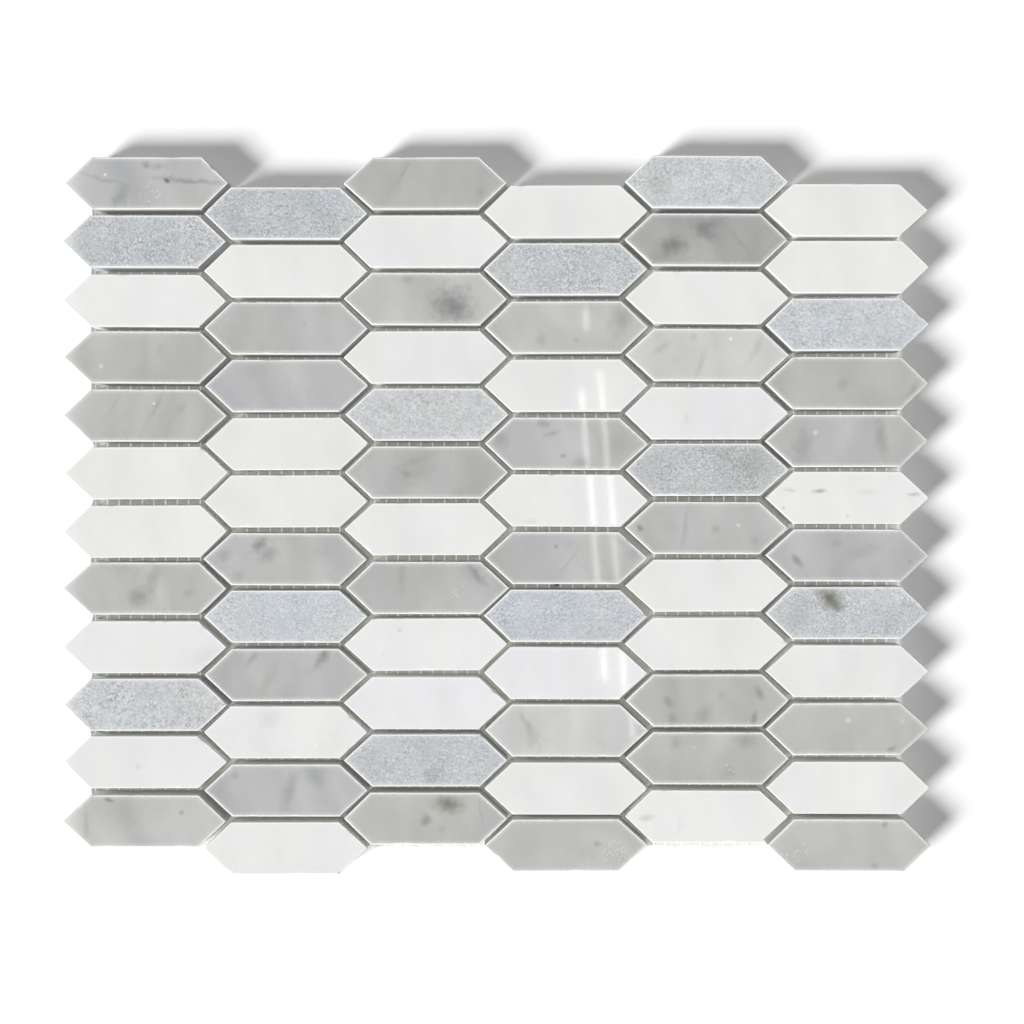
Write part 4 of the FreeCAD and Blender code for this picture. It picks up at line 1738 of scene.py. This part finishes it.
    def build(self, finish: bpy.types.Material) -> bpy.types.Object:
        """Make the piece and put it in the CAD node's place.

        Args:
            finish: The film's material.

        Returns:
            The piece.
        """
        self.sheet()
        self.squeezed_out()
        self.crumb()
        values = {"dirt_and_shade": np.concatenate(self.dirt_and_shade)}
        piece = new_piece("adhesive_film_sheet", np.vstack(self.points) * MM, self.faces, values)
        piece.data.materials.append(finish)
        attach(piece, "root")
        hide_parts("adhesive_film")
        return piece


@dataclass(frozen=True)
class StripLamp:
    """A strip lamp: where its mirror image starts and ends on the sheet in millimetres, and its watts."""

    name: str
    start: tuple[float, float]
    end: tuple[float, float]
    power: float


@dataclass(frozen=True)
class StudioSizes:
    """The place of the camera and the lamps, in metres, degrees and watts."""

    camera: tuple[float, float, float] = (0.0053, 0.001, 0.58)
    lens: float = 57.8
    key_strength: float = 4.10
    key_height: float = 32.3
    key_turn: float = 34.4
    key_spread: float = 19.0
    ceiling_strength: float = 0.80
    ceiling_spread: float = 9.0
    fill: float = 0.05
    lamp_height: float = 1.5
    lamp_width: float = 0.0042
    floor: float = 6.0
    gap: float = 0.0001
    strips: tuple[StripLamp, ...] = (
        StripLamp("short_strip", (31.0, 72.5), (31.2, 64.5), 0.0036),
        StripLamp("left_strip", (29.8, 43.0), (38.4, -56.0), 0.05),
        StripLamp("right_strip", (36.2, 50.0), (47.2, -80.0), 0.06),
    )


class Studio:
    """The white table, the camera, the key and ceiling lights, the fill and the mirrored strip lamps."""

    def __init__(self, sizes: StudioSizes) -> None:
        """Args: sizes: the places and strengths of the camera and the lamps."""
        self.sizes = sizes

    def camera(self) -> None:
        """Set the camera straight above the sheet."""
        data = bpy.data.cameras.new("photo_camera")
        data.lens = self.sizes.lens
        data.sensor_width = 36.0
        data.clip_start, data.clip_end = 0.01, 20.0
        camera = in_scene("photo_camera", data)
        camera.location = self.sizes.camera
        bpy.context.scene.camera = camera

    def key(self) -> None:
        """Hang the key light, which comes from the lower left."""
        data = bpy.data.lights.new("key", "SUN")
        data.energy = self.sizes.key_strength
        data.angle = math.radians(self.sizes.key_spread)
        lamp = in_scene("key", data)
        height, turn = math.radians(self.sizes.key_height), math.radians(self.sizes.key_turn)
        level = math.cos(height)
        source = Vector((-math.cos(turn) * level, -math.sin(turn) * level, math.sin(height)))
        lamp.rotation_mode = "QUATERNION"
        lamp.rotation_quaternion = source.to_track_quat("Z", "Y")

    def ceiling(self) -> None:
        """Hang the soft light of the ceiling, which reaches down into the joints."""
        data = bpy.data.lights.new("ceiling", "SUN")
        data.energy = self.sizes.ceiling_strength
        data.angle = math.radians(self.sizes.ceiling_spread)
        lamp = in_scene("ceiling", data)
        lamp.visible_glossy = False

    def strip(self, image: StripLamp) -> None:
        """Hang one strip lamp so that the polish mirrors it along a line of the sheet.

        Args:
            image: The lamp and its mirror image.
        """
        eye = Vector(self.sizes.camera[:2])
        face = CAD_HIGH.z
        share = (self.sizes.lamp_height - face) / (self.sizes.camera[2] - face)
        ends = [eye + (Vector(point) * MM - eye) * (1 + share) for point in (image.start, image.end)]
        run = ends[1] - ends[0]
        data = bpy.data.lights.new(image.name, "AREA")
        data.shape = "RECTANGLE"
        data.size, data.size_y = self.sizes.lamp_width, run.length
        data.energy = image.power
        lamp = in_scene(image.name, data)
        middle = (ends[0] + ends[1]) / 2
        lamp.location = (middle.x, middle.y, self.sizes.lamp_height)
        lamp.rotation_euler = (0, 0, math.atan2(run.y, run.x) - math.pi / 2)
        lamp.visible_camera = False

    def world(self) -> None:
        """Fill from all sides, white where it is looked at."""
        world = bpy.data.worlds.new("fill")
        world.use_nodes = True
        world.node_tree.nodes.clear()
        sky = Wiring(world.node_tree)
        path = sky.node("ShaderNodeLightPath").outputs
        seen = Number(sky, path["Is Camera Ray"]) + path["Is Glossy Ray"] + path["Is Transmission Ray"]
        strength = self.sizes.fill + seen.held() * (1.0 - self.sizes.fill)
        background = sky.node("ShaderNodeBackground", {}, {"Color": WHITE, "Strength": strength})
        sky.node("ShaderNodeOutputWorld", {}, {"Surface": background.outputs[0]})
        bpy.context.scene.world = world

    def table(self) -> None:
        """Lay the white table under the sheet."""
        half, level = self.sizes.floor / 2, -self.sizes.gap
        sides = ((-half, -half), (half, -half), (half, half), (-half, half))
        table = new_piece("table", np.array([(x, y, level) for x, y in sides]), [(0, 1, 2, 3)])
        material, shader = new_material("white_table")
        path = shader.node("ShaderNodeLightPath").outputs
        colour = shader.blend(path["Is Camera Ray"], (0.8, 0.8, 0.8, 1.0), WHITE)
        shader.surface(Base_Color=colour, Roughness=1.0, Specular_IOR_Level=0.0)
        table.data.materials.append(material)

    def build(self) -> None:
        """Set up the whole studio."""
        self.camera()
        self.key()
        self.ceiling()
        self.world()
        self.table()
        for image in self.sizes.strips:
            self.strip(image)
        bpy.context.scene.view_settings.view_transform = "Standard"


def marbles() -> dict[Marble, PolishedMarble]:
    """List the three marbles.

    Returns:
        The finish of each marble.
    """
    white = WhiteMarble(
        "white_marble",
        pale=paint(238, 238, 238),
        deep=paint(228, 228, 228),
        warm=paint(254, 254, 250),
        cool=paint(252, 252, 254),
        smoke=paint(184, 184, 182),
        stain=paint(118, 112, 92),
        rim_glow=0.3,
    )
    grey = GreyMarble(
        "grey_marble",
        sawn=paint(198, 199, 196),
        sawn_stain=paint(180, 179, 175),
        pale=paint(216, 216, 216),
        deep=paint(148, 149, 149),
        warm=paint(254, 254, 248),
        cool=paint(252, 252, 254),
    )
    blue = BlueGreyMarble(
        "blue_grey_marble",
        sawn=paint(196, 200, 203),
        sawn_stain=paint(176, 179, 181),
        pale=paint(222, 224, 226),
        deep=paint(138, 142, 146),
        warm=paint(255, 254, 252),
        cool=paint(250, 253, 255),
        smoke=paint(140, 144, 146),
        stain=paint(104, 104, 78),
        polish=0.14,
    )
    return {Marble.WHITE: white, Marble.GREY: grey, Marble.BLUE_GREY: blue}


def main() -> None:
    """Build the sheet, piece by piece, and the studio."""
    logging.basicConfig(level=logging.INFO, format="%(message)s")
    cut = PicketCut()
    plan = SheetPlan(frame["nodes"])
    finishes = {marble: finish.material() for marble, finish in marbles().items()}
    for node in sorted({lie.node for lie in plan.lies}):
        lies = [lie for lie in plan.lies if lie.node == node]
        piece = PicketCourse(node, lies, cut).build(finishes[lies[0].marble])
        log.info("%s: %d pickets, %d faces", piece.name, len(lies), len(piece.data.polygons))
    film = AdhesiveFilm(frame["nodes"]["adhesive_film"], FilmCut(), cut, plan).build(FilmFinish().material())
    log.info("%s: %d faces", film.name, len(film.data.polygons))
    net = BackingNet(YarnFinish().material())
    for yarns in NET:
        piece = net.build(yarns)
        log.info("%s: %d faces", piece.name, len(piece.data.polygons))
    Studio(StudioSizes()).build()


if __name__ == "__main__":
    main()
